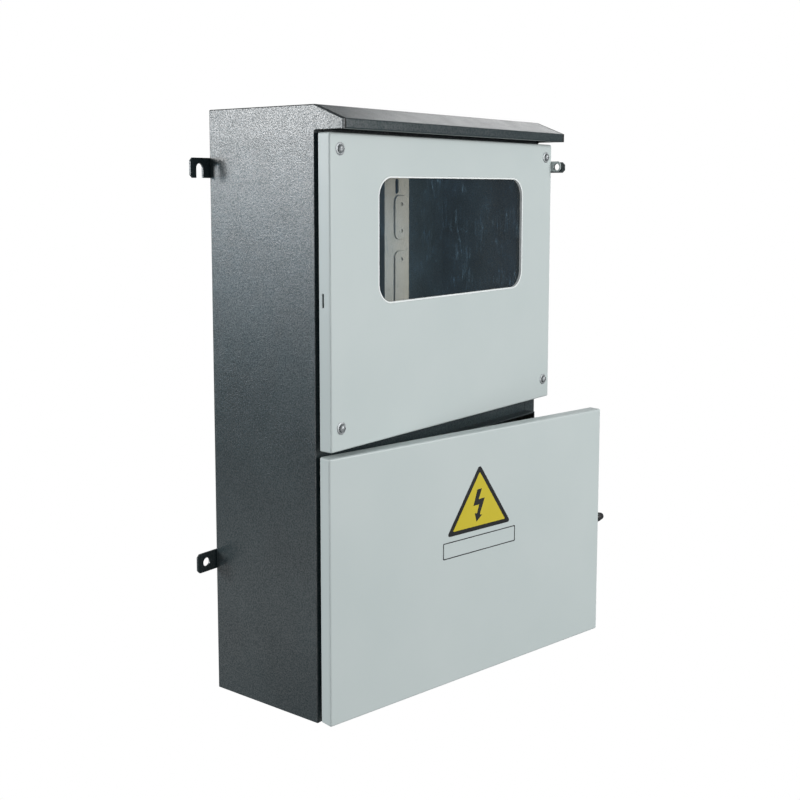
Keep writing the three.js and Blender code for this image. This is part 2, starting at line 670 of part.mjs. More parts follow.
// ---- assembly: upper cover ----------------------------------------------------------------------
place('upper_cover', upperCover(), leafPaint());
place('gasket_upper', gasket(BAR.z1 - SHEET / 2, OPENING.z1 + SHEET / 2), rubber());
place('window_seal', windowSeal(), rubber());
place('window_pane', windowPane(), clear());
place('cover_seal_lug', coverSealLug(), leafPaint());
for (const [sideName, side] of [['left', -1], ['right', 1]]) {
  SCREW.zs.forEach((z, i) => {
    const level = i === 0 ? 'lower' : 'upper';
    place(`cover_screw_${level}_${sideName}`, coverScrew(side * SCREW.x, z), zinc());
    place(`cup_washer_${level}_${sideName}`, cupWasher(side * SCREW.x, z), zinc());
  });
}

// ---- assembly: lower door, turned about its hinge axis ------------------------------------------
const door = new THREE.Group();
door.position.set(HINGE.x, HINGE.y, 0);
door.rotation.z = -AJAR;
combinerBox.add(door);
const toDoor = (body) => body.translate([-HINGE.x, -HINGE.y, 0]);
const latchHole = rod('x', LATCH.y, LATCH.z, LATCH.hole, DOOR.x1 - SHEET - 1, DOOR.x1 + 1);
place('lower_door', toDoor(tray(DOOR).subtract(latchHole)), leafPaint(), door);
place('gasket_lower', toDoor(gasket(OPENING.z0 - SHEET / 2, BAR.z0 + SHEET / 2)), rubber(), door);
HINGE.bottoms.forEach((bottom, i) => {
  place(`hinge_door_leaf_${i + 1}`, hingeDoorLeaf(bottom), steel(), door);
});

const latch = new THREE.Group();
latch.position.set(DOOR.x1 - HINGE.x, LATCH.y - HINGE.y, LATCH.z);
door.add(latch);
place('latch_barrel', latchBarrel(), blackPlastic(), latch);
place('latch_cam', latchCam(), zinc(), latch);

export default combinerBox;
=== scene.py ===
"""Finished looks of a wall-mounted combiner box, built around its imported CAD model.

The frame gives every size and place; this script adds rolled edges, pressed and turned detail and the
finish of each material. Sizes are in millimetres until a mesh is made, and the scene is in metres.
"""

from __future__ import annotations

import json
import logging
import math
from collections.abc import Callable, Iterator, Sequence
from contextlib import contextmanager
from dataclasses import dataclass, field
from enum import Enum

import bmesh
import bpy
from mathutils import Matrix, Vector

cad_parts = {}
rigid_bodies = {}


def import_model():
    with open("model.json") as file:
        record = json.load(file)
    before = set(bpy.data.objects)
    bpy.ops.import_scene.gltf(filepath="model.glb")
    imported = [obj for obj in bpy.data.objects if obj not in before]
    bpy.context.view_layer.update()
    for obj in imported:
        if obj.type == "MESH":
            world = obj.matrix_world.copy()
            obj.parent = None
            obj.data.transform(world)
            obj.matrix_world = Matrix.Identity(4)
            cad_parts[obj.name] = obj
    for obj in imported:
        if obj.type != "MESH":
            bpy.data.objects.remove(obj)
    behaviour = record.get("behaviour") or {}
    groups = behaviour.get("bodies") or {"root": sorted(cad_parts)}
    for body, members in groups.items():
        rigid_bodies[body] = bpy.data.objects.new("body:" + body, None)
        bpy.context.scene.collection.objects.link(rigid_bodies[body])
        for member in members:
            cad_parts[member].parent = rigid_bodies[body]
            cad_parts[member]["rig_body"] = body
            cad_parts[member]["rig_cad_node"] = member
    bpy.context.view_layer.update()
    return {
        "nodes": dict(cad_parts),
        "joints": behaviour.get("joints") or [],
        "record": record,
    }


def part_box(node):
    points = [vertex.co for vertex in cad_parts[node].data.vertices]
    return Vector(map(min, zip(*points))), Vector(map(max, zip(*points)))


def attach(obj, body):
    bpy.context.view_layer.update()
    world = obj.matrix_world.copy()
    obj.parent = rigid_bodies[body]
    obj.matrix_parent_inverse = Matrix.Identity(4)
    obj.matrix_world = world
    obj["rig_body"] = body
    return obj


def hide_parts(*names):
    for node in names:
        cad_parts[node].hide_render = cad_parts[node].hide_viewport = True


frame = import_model()
BODY_OF = {node: body for body, nodes in frame["record"]["behaviour"]["bodies"].items() for node in nodes}

MM = 0.001
LOG = logging.getLogger("combiner_box")
Point = Sequence[float]
Test = Callable[[Vector, Vector], bool]


class Axis(Enum):
    """An axis of the frame, by its index in a point."""

    X = 0
    Y = 1
    Z = 2


class Pick(Enum):
    """What is selected in edit mode."""

    VERT = 0
    EDGE = 1
    FACE = 2


# ---- bench tools ---------------------------------------------------------------------------------
def hold(*pieces: bpy.types.Object) -> None:
    """Selects these pieces and nothing else, and makes the first one active."""
    for other in list(bpy.context.selected_objects):
        other.select_set(False)
    for piece in pieces:
        piece.select_set(True)
    bpy.context.view_layer.objects.active = pieces[0] if pieces else None


def placed(name: str) -> bpy.types.Object:
    """Names the primitive that was just added and puts its place into its mesh."""
    piece = bpy.context.active_object
    piece.name = piece.data.name = name
    hold(piece)
    bpy.ops.object.transform_apply(location=True, rotation=True, scale=True)
    return piece


@contextmanager
def editing(piece: bpy.types.Object, pick: Pick = Pick.FACE) -> Iterator[None]:
    """Opens a piece in edit mode with nothing selected.

    Args:
        piece: the mesh to edit.
        pick: the kind of element that is selected.
    """
    hold(piece)
    bpy.ops.object.mode_set(mode="EDIT")
    bpy.ops.mesh.select_mode(type=pick.name)
    bpy.ops.mesh.select_all(action="DESELECT")
    yield
    bpy.ops.object.mode_set(mode="OBJECT")


def select(piece: bpy.types.Object, pick: Pick, test: Test) -> int:
    """Selects the elements of an open piece that pass a test.

    Args:
        piece: the mesh in edit mode.
        pick: the kind of element.
        test: is given the element's middle in millimetres and its normal, or an edge's direction.

    Returns:
        How many elements were selected.
    """
    mesh = bmesh.from_edit_mesh(piece.data)
    count = 0
    for item in (mesh.verts, mesh.edges, mesh.faces)[pick.value]:
        if pick is Pick.FACE:
            middle, heading = item.calc_center_median(), item.normal
        elif pick is Pick.EDGE:
            start, end = (vert.co for vert in item.verts)
            middle, heading = (start + end) / 2, (end - start).normalized()
        else:
            middle, heading = item.co, item.normal
        if test(middle / MM, heading):
            item.select_set(True)
            count += 1
    mesh.select_flush_mode()
    bmesh.update_edit_mesh(piece.data)
    return count


def block(name: str, low: Point, high: Point) -> bpy.types.Object:
    """A box between two corners, in millimetres."""
    hold()
    bpy.ops.mesh.primitive_cube_add(
        size=1,
        location=[(a + b) / 2 * MM for a, b in zip(low, high)],
        scale=[(b - a) * MM for a, b in zip(low, high)],
    )
    return placed(name)


def rounded_block(
    name: str, low: Point, high: Point, axis: Axis, radius: float, segments: int = 8
) -> bpy.types.Object:
    """A box whose four edges along one axis are rounded.

    Args:
        name: the piece's name.
        low: lowest corner, in millimetres.
        high: highest corner, in millimetres.
        axis: the axis that the rounded edges run along.
        radius: the corner radius in millimetres.
        segments: steps in each corner.

    Returns:
        The new piece.
    """
    piece = block(name, low, high)
    with editing(piece, Pick.EDGE):
        select(piece, Pick.EDGE, lambda _, heading: abs(heading[axis.value]) > 0.99)
        bpy.ops.mesh.bevel(offset=radius * MM, segments=segments, affect="EDGES")
    return piece


def turned(
    name: str, axis: Axis, centre: Point, profile: Sequence[Point], sides: int = 48
) -> bpy.types.Object:
    """A piece turned on the lathe, grown ring by ring from a disc or, when it is bored, from a ring.

    Args:
        name: the piece's name.
        axis: the axis it is turned about.
        centre: any point on that axis, in millimetres; the profile's heights are frame coordinates.
        profile: points of radius and height along the axis; a bored piece ends where it starts.
        sides: steps around.

    Returns:
        The new piece, closed and with its faces pointing out.
    """
    bored = tuple(profile[0]) == tuple(profile[-1])
    hold()
    radius, height = profile[0]
    bpy.ops.mesh.primitive_circle_add(
        vertices=sides,
        radius=radius * MM,
        fill_type="NOTHING" if bored else "NGON",
        location=(0, 0, height * MM),
        enter_editmode=True,
    )
    bpy.ops.mesh.select_mode(type="EDGE" if bored else "FACE")
    grow = bpy.ops.mesh.extrude_edges_move if bored else bpy.ops.mesh.extrude_region_move
    start = height
    for wider, higher in profile[1:]:
        grow(TRANSFORM_OT_translate={"value": (0, 0, (higher - height) * MM)})
        factor = wider / radius
        bpy.ops.transform.resize(value=(factor, factor, 1), center_override=(0, 0, (higher - start) * MM))
        radius, height = wider, higher
    bpy.ops.mesh.select_all(action="SELECT")
    bpy.ops.mesh.remove_doubles(threshold=1e-6)
    bpy.ops.mesh.normals_make_consistent(inside=False)
    bpy.ops.object.mode_set(mode="OBJECT")
    piece = bpy.context.active_object
    turn = {
        Axis.X: Matrix.Rotation(math.pi / 2, 4, "Y"),
        Axis.Y: Matrix.Rotation(-math.pi / 2, 4, "X"),
        Axis.Z: Matrix.Identity(4),
    }[axis]
    place = Vector([0 if axis.value == i else value * MM for i, value in enumerate(centre)])
    piece.matrix_world = Matrix.Translation(place) @ turn @ piece.matrix_world
    return placed(name)


def rod(
    name: str, axis: Axis, centre: Point, radius: float, start: float, end: float, sides: int = 32
) -> bpy.types.Object:
    """A round bar along an axis between two heights, in millimetres."""
    return turned(name, axis, centre, [(radius, start), (radius, end)], sides)


def strip_outline(name: str, points: Sequence[Point], front: float, thickness: float) -> bpy.types.Object:
    """A flat shape in the x and z plane, drawn point by point and given a thickness towards the wall.

    Args:
        name: the piece's name.
        points: x and z of the outline, in millimetres.
        front: y of its front face.
        thickness: how thick it is.

    Returns:
        The new piece.
    """
    hold()
    at_x, at_z = points[0]
    bpy.ops.mesh.primitive_plane_add(
        size=MM, location=(at_x * MM, front * MM, at_z * MM), enter_editmode=True
    )
    bpy.ops.mesh.select_mode(type="VERT")
    bpy.ops.mesh.merge(type="CENTER")
    for x, z in points[1:]:
        step = ((x - at_x) * MM, 0, (z - at_z) * MM)
        bpy.ops.mesh.extrude_region_move(TRANSFORM_OT_translate={"value": step})
        at_x, at_z = x, z
    bpy.ops.mesh.select_all(action="SELECT")
    bpy.ops.mesh.edge_face_add()
    bpy.ops.mesh.extrude_region_move(TRANSFORM_OT_translate={"value": (0, thickness * MM, 0)})
    bpy.ops.mesh.select_all(action="SELECT")
    bpy.ops.mesh.normals_make_consistent(inside=False)
    bpy.ops.object.mode_set(mode="OBJECT")
    return placed(name)


def modified(piece: bpy.types.Object, kind: str, **settings: object) -> None:
    """Puts a modifier on a piece and applies it."""
    hold(piece)
    modifier = piece.modifiers.new(kind, kind)
    for key, value in settings.items():
        setattr(modifier, key, value)
    bpy.ops.object.modifier_apply(modifier=modifier.name)


def boolean(piece: bpy.types.Object, tool: bpy.types.Object, operation: str = "DIFFERENCE") -> None:
    """Cuts, joins or intersects a piece with a tool, which is used up."""
    modified(piece, "BOOLEAN", object=tool, operation=operation, solver="EXACT")
    bpy.data.objects.remove(tool)


def joined(*pieces: bpy.types.Object) -> bpy.types.Object:
    """Joins loose pieces into the first one, as parts fixed together for good."""
    hold(*pieces)
    bpy.ops.object.join()
    return pieces[0]


def soften(piece: bpy.types.Object, width: float, segments: int = 2, angle: float = 35) -> None:
    """Rounds a piece's sharp edges and shades it smooth.

    Args:
        piece: the mesh.
        width: how far each rounding reaches along its faces, in millimetres.
        segments: steps across the rounding.
        angle: edges sharper than this many degrees are rounded.
    """
    hold(piece)
    bpy.ops.object.shade_smooth_by_angle(angle=math.radians(angle))
    modified(
        piece,
        "BEVEL",
        width=width * MM,
        segments=segments,
        limit_method="ANGLE",
        angle_limit=math.radians(angle),
        miter_outer="MITER_ARC",
    )
    modified(piece, "WEIGHTED_NORMAL", keep_sharp=True, weight=95, thresh=0.001)


def copied(node: str) -> bpy.types.Object:
    """A merged copy of a CAD node, ready to be finished."""
    piece = frame["nodes"][node].copy()
    piece.data = piece.data.copy()
    piece.parent = None
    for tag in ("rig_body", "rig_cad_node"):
        del piece[tag]
    bpy.context.scene.collection.objects.link(piece)
    piece.name = piece.data.name = f"finished_{node}"
    piece.data.materials.clear()
    with editing(piece):
        bpy.ops.mesh.select_all(action="SELECT")
        bpy.ops.mesh.remove_doubles(threshold=1e-6)
        bpy.ops.mesh.dissolve_limited(angle_limit=math.radians(0.5))
    return piece


def duplicate(piece: bpy.types.Object, name: str, shift: Point) -> bpy.types.Object:
    """A copy of a finished piece with its own mesh, moved by a step in millimetres."""
    twin = piece.copy()
    twin.data = piece.data.copy()
    bpy.context.scene.collection.objects.link(twin)
    twin.matrix_world = Matrix.Translation(Vector(shift) * MM) @ twin.matrix_world
    bpy.context.view_layer.objects.active = twin
    return placed(name)


def corners(node: str) -> tuple[Vector, Vector]:
    """Lowest and highest corner of a CAD node, in millimetres."""
    low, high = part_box(node)
    return low / MM, high / MM


def middle(node: str) -> Vector:
    """Middle of a CAD node's box, in millimetres."""
    low, high = corners(node)
    return (low + high) / 2


# ---- finishes ------------------------------------------------------------------------------------
def linear(code: str) -> tuple[float, float, float, float]:
    """Turns an sRGB hex colour, such as 3C4A4B, into a linear one."""
    parts = [int(code[i : i + 2], 16) / 255 for i in (0, 2, 4)]
    red, green, blue = (v / 12.92 if v <= 0.04045 else ((v + 0.055) / 1.055) ** 2.4 for v in parts)
    return red, green, blue, 1.0


def add_node(
    tree: bpy.types.NodeTree,
    kind: str,
    settings: dict[str | int, object] | None = None,
    links: dict[str | int, bpy.types.NodeSocket] | None = None,
) -> bpy.types.Node:
    """Adds one node.

    Args:
        tree: the material's or the world's node tree.
        kind: the node's type, without its ShaderNode prefix.
        settings: values for its inputs, by name or index, or for its own properties.
        links: sockets of other nodes that feed its inputs.

    Returns:
        The new node.
    """
    node = tree.nodes.new(f"ShaderNode{kind}")
    for key, value in (settings or {}).items():
        if isinstance(key, str) and key in node.bl_rna.properties:
            setattr(node, key, value)
    for key, value in (settings or {}).items():
        if isinstance(key, int) or key not in node.bl_rna.properties:
            node.inputs[key].default_value = value
    for key, socket in (links or {}).items():
        tree.links.new(socket, node.inputs[key])
    return node


@dataclass(frozen=True)
class Finish:
    """A surface finish: what a piece is made of and how its surface was made.

    Attributes:
        name: the material's name.
        slot: the record's material slot; not used.
        tones: two sRGB colours that the surface drifts between.
        drift: size of that drift in millimetres.
        roughness: lowest and highest roughness over the surface.
        metallic: 1 for bare metal, otherwise 0.
        grain: size of the surface grain in millimetres.
        relief: depth of the grain in millimetres.
        stretch: how much longer the grain is along each axis, as for a brushed surface.
        coat: weight of a clear top layer.
        coat_roughness: roughness of that layer.
        specular: specular level of the surface.
    """

    name: str
    slot: str
    tones: tuple[str, str]
    drift: float = 40.0
    roughness: tuple[float, float] = (0.4, 0.5)
    metallic: float = 0.0
    grain: float = 1.0
    relief: float = 0.0
    stretch: tuple[float, float, float] = (1.0, 1.0, 1.0)
    coat: float = 0.0
    coat_roughness: float = 0.1
    specular: float = 0.5

    def material(self) -> bpy.types.Material:
        """The material, made the first time that it is asked for."""
        known = bpy.data.materials.get(self.name)
        return known or self.mixed()

    def mixed(self) -> bpy.types.Material:
        """Builds the material's nodes and returns it."""
        material = bpy.data.materials.new(self.name)
        material.use_nodes = True
        tree = material.node_tree
        tree.nodes.clear()
        surface = self.surface(tree)
        add_node(tree, "OutputMaterial", links={"Surface": surface})
        material.diffuse_color = linear(self.tones[0])
        return material

    def surface(self, tree: bpy.types.NodeTree) -> bpy.types.NodeSocket:
        """Builds the shader and returns its output."""
        place = add_node(tree, "TexCoord").outputs["Object"]
        base = add_node(
            tree,
            "BsdfPrincipled",
            {
                "Metallic": self.metallic,
                "Specular IOR Level": self.specular,
                "Coat Weight": self.coat,
                "Coat Roughness": self.coat_roughness,
            },
            {
                "Base Color": self.colour(tree, place),
                "Roughness": self.gloss(tree, place),
                "Normal": self.texture(tree, place),
            },
        )
        return base.outputs[0]

    def noise(
        self, tree: bpy.types.NodeTree, place: bpy.types.NodeSocket, size: float, detail: float = 2.0
    ) -> bpy.types.NodeSocket:
        """Soft noise whose spots are about a size in millimetres across."""
        return add_node(
            tree, "TexNoise", {"Scale": 1 / (size * MM), "Detail": detail}, {"Vector": place}
        ).outputs["Fac"]

    def colour(self, tree: bpy.types.NodeTree, place: bpy.types.NodeSocket) -> bpy.types.NodeSocket:
        """The two tones, mixed by a broad drift."""
        spread = add_node(
            tree,
            "MapRange",
            {"From Min": 0.3, "From Max": 0.7},
            {"Value": self.noise(tree, place, self.drift, 4)},
        ).outputs[0]
        first, second = (linear(tone) for tone in self.tones)
        return add_node(
            tree, "Mix", {"data_type": "RGBA", 6: first, 7: second}, {"Factor": spread}
        ).outputs[2]

    def gloss(self, tree: bpy.types.NodeTree, place: bpy.types.NodeSocket) -> bpy.types.NodeSocket:
        """Roughness that wanders with handling marks of a few centimetres."""
        low, high = self.roughness
        return add_node(
            tree,
            "MapRange",
            {"From Min": 0.35, "From Max": 0.65, "To Min": low, "To Max": high},
            {"Value": self.noise(tree, place, 22, 5)},
        ).outputs[0]

    def texture(self, tree: bpy.types.NodeTree, place: bpy.types.NodeSocket) -> bpy.types.NodeSocket:
        """The relief of the grain, as a normal."""
        scaled = add_node(
            tree, "Mapping", {"Scale": tuple(1 / s for s in self.stretch)}, {"Vector": place}
        ).outputs[0]
        return add_node(
            tree,
            "Bump",
            {"Strength": 1.0, "Distance": self.relief * MM},
            {"Height": self.noise(tree, scaled, self.grain, 1.0)},
        ).outputs[0]


@dataclass(frozen=True)
class WrinkleCoat(Finish):
    """Wrinkle powder coat: baked pimples a millimetre or two across that break up every reflection."""

    def surface(self, tree: bpy.types.NodeTree) -> bpy.types.NodeSocket:
        """The plain finish, with one pimple glossier than the next."""
        shaded = super().surface(tree)
        place = add_node(tree, "TexCoord").outputs["Object"]
        dull, bright = 0.55 * self.specular, 1.45 * self.specular
        sparkle = add_node(
            tree,
            "MapRange",
            {"From Min": 0.3, "From Max": 0.7, "To Min": dull, "To Max": bright},
            {"Value": self.noise(tree, place, self.grain * 1.3, 1)},
        ).outputs[0]
        tree.links.new(sparkle, shaded.node.inputs["Specular IOR Level"])
        return shaded

    def texture(self, tree: bpy.types.NodeTree, place: bpy.types.NodeSocket) -> bpy.types.NodeSocket:
        """Rounded pimples with finer wrinkles between them."""
        pimples = add_node(
            tree, "TexVoronoi", {"feature": "F1", "Scale": 1 / (self.grain * MM)}, {"Vector": place}
        ).outputs["Distance"]
        wrinkles = self.noise(tree, place, self.grain * 0.8, 1)
        height = add_node(
            tree, "Math", {"operation": "SUBTRACT"}, {0: wrinkles, 1: pimples}
        ).outputs[0]
        return add_node(
            tree, "Bump", {"Strength": 1.0, "Distance": self.relief * MM}, {"Height": height}
        ).outputs[0]


@dataclass(frozen=True)
class Galvanised(Finish):
    """Hot-dip galvanised sheet: flat crystals of zinc, each turned its own way and so of its own grey."""

    def colour(self, tree: bpy.types.NodeTree, place: bpy.types.NodeSocket) -> bpy.types.NodeSocket:
        """One grey for each crystal."""
        cells = add_node(
            tree, "TexVoronoi", {"Scale": 1 / (self.drift * MM)}, {"Vector": place}
        ).outputs["Color"]
        first, second = (linear(tone) for tone in self.tones)
        return add_node(
            tree, "Mix", {"data_type": "RGBA", 6: first, 7: second}, {"Factor": cells}
        ).outputs[2]


@dataclass(frozen=True)
class ClearSheet(Finish):
    """Polycarbonate sheet: clear, glossy at a slant, with wiped scratches and specks of dust."""

    haze: str = "7899AE"

    def scratches(self, tree: bpy.types.NodeTree, place: bpy.types.NodeSocket) -> bpy.types.NodeSocket:
        """Hair-thin arcs that lean two ways, each where a broader patch of wear lets them show."""
        found = None
        for tilt, length, patch in ((0.25, 0.09, 30), (-0.3, 0.16, 22)):
            bent = add_node(
                tree, "Mapping", {"Scale": (1, 1, length), "Rotation": (0, tilt, 0)}, {"Vector": place}
            ).outputs[0]
            lines = self.noise(tree, bent, 4.5, 1)
            off = add_node(tree, "Math", {"operation": "SUBTRACT", 1: 0.5}, {0: lines}).outputs[0]
            near = add_node(tree, "Math", {"operation": "ABSOLUTE"}, {0: off}).outputs[0]
            hair = add_node(
                tree,
                "MapRange",
                {"From Min": 0.0, "From Max": 0.015, "To Min": 1.0, "To Max": 0.0},
                {"Value": near},
            ).outputs[0]
            worn = add_node(
                tree,
                "MapRange",
                {"From Min": 0.52, "From Max": 0.66},
                {"Value": self.noise(tree, place, patch, 3)},
            ).outputs[0]
            marks = add_node(tree, "Math", {"operation": "MULTIPLY"}, {0: hair, 1: worn}).outputs[0]
            if found is not None:
                marks = add_node(tree, "Math", {"operation": "MAXIMUM"}, {0: marks, 1: found}).outputs[0]
            found = marks
        return found

    def dust(self, tree: bpy.types.NodeTree, place: bpy.types.NodeSocket) -> bpy.types.NodeSocket:
        """Specks about a millimetre across, a few centimetres apart."""
        near = add_node(
            tree, "TexVoronoi", {"Scale": 1 / (17 * MM)}, {"Vector": place}
        ).outputs["Distance"]
        return add_node(
            tree,
            "MapRange",
            {"From Min": 0.03, "From Max": 0.055, "To Min": 1.0, "To Max": 0.0},
            {"Value": near},
        ).outputs[0]

    def surface(self, tree: bpy.types.NodeTree) -> bpy.types.NodeSocket:
        """Clear sheet under its scratches, with a film of haze and a slanting gloss."""
        place = add_node(tree, "TexCoord").outputs["Object"]
        film = add_node(
            tree,
            "MapRange",
            {"From Min": 0.3, "From Max": 0.8, "To Min": 0.022, "To Max": 0.045},
            {"Value": self.noise(tree, place, 45, 3)},
        ).outputs[0]
        marks = add_node(
            tree,
            "Math",
            {"operation": "MAXIMUM"},
            {0: self.scratches(tree, place), 1: self.dust(tree, place)},
        ).outputs[0]
        faint = add_node(
            tree, "Math", {"operation": "MULTIPLY_ADD", "use_clamp": True, 1: 0.3}, {0: marks, 2: film}
        ).outputs[0]
        clear = add_node(tree, "BsdfTransparent", {"Color": linear(self.tones[0])}).outputs[0]
        dusty = add_node(tree, "BsdfDiffuse", {"Color": linear(self.haze)}).outputs[0]
        sheet = add_node(tree, "MixShader", links={0: faint, 1: clear, 2: dusty}).outputs[0]
        shine = add_node(
            tree, "BsdfAnisotropic", {"Color": (1, 1, 1, 1), "Roughness": self.roughness[0]}
        ).outputs[0]
        slant = add_node(tree, "Fresnel", {"IOR": 1.4}).outputs[0]
        inside = add_node(tree, "NewGeometry").outputs["Backfacing"]
        outside = add_node(tree, "Math", {"operation": "SUBTRACT", 0: 1.0}, {1: inside}).outputs[0]
        gloss = add_node(tree, "Math", {"operation": "MULTIPLY"}, {0: slant, 1: outside}).outputs[0]
        return add_node(tree, "MixShader", links={0: gloss, 1: sheet, 2: shine}).outputs[0]


# Dark wrinkle powder coat: a green grey that stays near black in shade and turns to a silvery
# speckle wherever its pimples catch a light.
BODY_COAT = WrinkleCoat(
    "wrinkle_powder_coat_dark",
    "body_paint",
    ("1F2B2E", "273437"),
    60,
    (0.29, 0.33),
    0,
    1.15,
    0.09,
    specular=0.82,
)
# Fine powder coat: a cool light grey with a barely visible orange peel and a soft sheen.
LEAF_COAT = Finish(
    "fine_powder_coat_light_grey", "leaf_paint", ("C3CCCB", "BFC9C8"), 90, (0.385, 0.415), 0, 1.6, 0.012
)
# Beige enamel of the meter strips: flat, warm, slightly uneven.
STRIP_ENAMEL = Finish("beige_enamel", "strip_paint", ("D0C7B7", "C6BDAC"), 25, (0.45, 0.6), 0, 1.8, 0.015)
# Zinc plate on screws and hinges: pale, slightly blue and cloudy.
ZINC_PLATE = Finish("zinc_plate", "zinc", ("B7BBBC", "9DA1A4"), 3, (0.48, 0.62), 0.85, 0.5, 0.01)
# Bare drawn steel: a little darker, with fine lines along its length.
DRAWN_STEEL = Finish(
    "drawn_steel", "steel", ("A7A9AA", "8E9193"), 6, (0.3, 0.42), 1, 0.5, 0.015, (1, 1, 12)
)
# Galvanised sheet of the mounting plate and the rail: spangles of about 9 mm.
SPANGLED_ZINC = Galvanised(
    "galvanised_sheet", "galvanised", ("B4B8BA", "8F9497"), 9, (0.35, 0.5), 1, 2, 0.01
)
# Closed-cell foam: matt black, finely pitted.
FOAM = Finish("closed_cell_foam", "foam", ("16181A", "1D1F21"), 4, (0.85, 0.95), 0, 0.6, 0.15)
# Clear polycarbonate: dark room behind it, grey hairlines and dust on it.
PANE = ClearSheet("clear_polycarbonate", "pane", ("DDE6EE", "DDE6EE"), 40, (0.04, 0.04))
# Near-black filler set in the hood's weld gaps: painted shade standing in for the shadow in those gaps;
# matt, slightly lumpy.
GAP_SHADE_FILL = Finish("black_seam_sealer", "body_paint", ("0E1011", "131516"), 6, (0.6, 0.75), 0, 2.5, 0.05)
# White silicone of the window bead: soft, slightly translucent, smoothed with a finger.
SEALANT = Finish("white_silicone", "leaf_paint", ("F1F5F4", "EAEFEE"), 15, (0.35, 0.5), 0, 3, 0.03)
# Moulded black nylon: satin with a fine spark-eroded grain.
BLACK_NYLON = Finish(
    "moulded_black_nylon", "black_plastic", ("1B1C1D", "222324"), 12, (0.34, 0.46), 0, 0.7, 0.02
)
# Moulded light grey polyamide of the rail devices.
PALE_NYLON = Finish(
    "moulded_pale_polyamide", "pale_plastic", ("D9DAD6", "D2D3CF"), 20, (0.38, 0.5), 0, 0.8, 0.02
)
# Moulded red handle and yellow cartridges.
RED_NYLON = Finish(
    "moulded_red_polyamide", "red_plastic", ("B22C22", "A8281F"), 14, (0.32, 0.42), 0, 0.8, 0.015
)
YELLOW_NYLON = Finish(
    "moulded_yellow_polyamide", "yellow_plastic", ("E2B62B", "D9AC26"), 14, (0.34, 0.44), 0, 0.8, 0.015
)
# Drawn brass of the earth bar: yellow with faint draw lines along it.
BRASS = Finish("drawn_brass", "brass", ("C9A557", "B08D45"), 8, (0.24, 0.38), 1, 0.5, 0.012, (14, 1, 1))
# Extruded PVC insulation: waxy, a little uneven.
RED_PVC = Finish(
    "pvc_insulation_red", "insulation_red", ("A92A22", "9C261F"), 9, (0.4, 0.5), 0, 1.2, 0.02
)
BLACK_PVC = Finish(
    "pvc_insulation_black", "insulation_black", ("1C1D1E", "252627"), 9, (0.4, 0.5), 0, 1.2, 0.02
)
GREEN_PVC = Finish(
    "pvc_insulation_green", "insulation_green", ("4F8A35", "467D2E"), 9, (0.4, 0.5), 0, 1.2, 0.02
)
# Printed vinyl film of the warning sign: flat colour under a thin clear layer.
YELLOW_VINYL = Finish(
    "printed_vinyl_yellow", "leaf_paint", ("CDBC34", "C9B830"), 30, (0.3, 0.36), 0, 1.5, 0.006, coat=0.3
)
BLACK_VINYL = Finish(
    "printed_vinyl_black", "leaf_paint", ("17181A", "1B1C1E"), 30, (0.3, 0.38), 0, 1.5, 0.006, coat=0.3
)


def finish(
    piece: bpy.types.Object, coat: Finish, node: str, stands_for: bool = True
) -> bpy.types.Object:
    """Gives a piece its material and its place in the assembly.

    Args:
        piece: the finished mesh.
        coat: its finish.
        node: the CAD node that it stands for, or that it is fixed to.
        stands_for: False for an extra piece beside the node.

    Returns:
        The same piece.
    """
    if not piece.data.materials:
        piece.data.materials.append(coat.material())
    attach(piece, BODY_OF[node])
    if stands_for:
        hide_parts(node)
    LOG.info("%s: %d faces, %s", piece.name, len(piece.data.polygons), coat.name)
    return piece


def dressed(
    node: str, coat: Finish, edge: float, segments: int = 2, angle: float = 35
) -> bpy.types.Object:
    """Finishes a merged copy of a CAD node with rounded edges.

    Args:
        node: the CAD node.
        coat: its finish.
        edge: how far each rounding reaches, in millimetres.
        segments: steps across the rounding.
        angle: edges sharper than this many degrees are rounded.

    Returns:
        The finished piece.
    """
    piece = copied(node)
    soften(piece, edge, segments, angle)
    return finish(piece, coat, node)


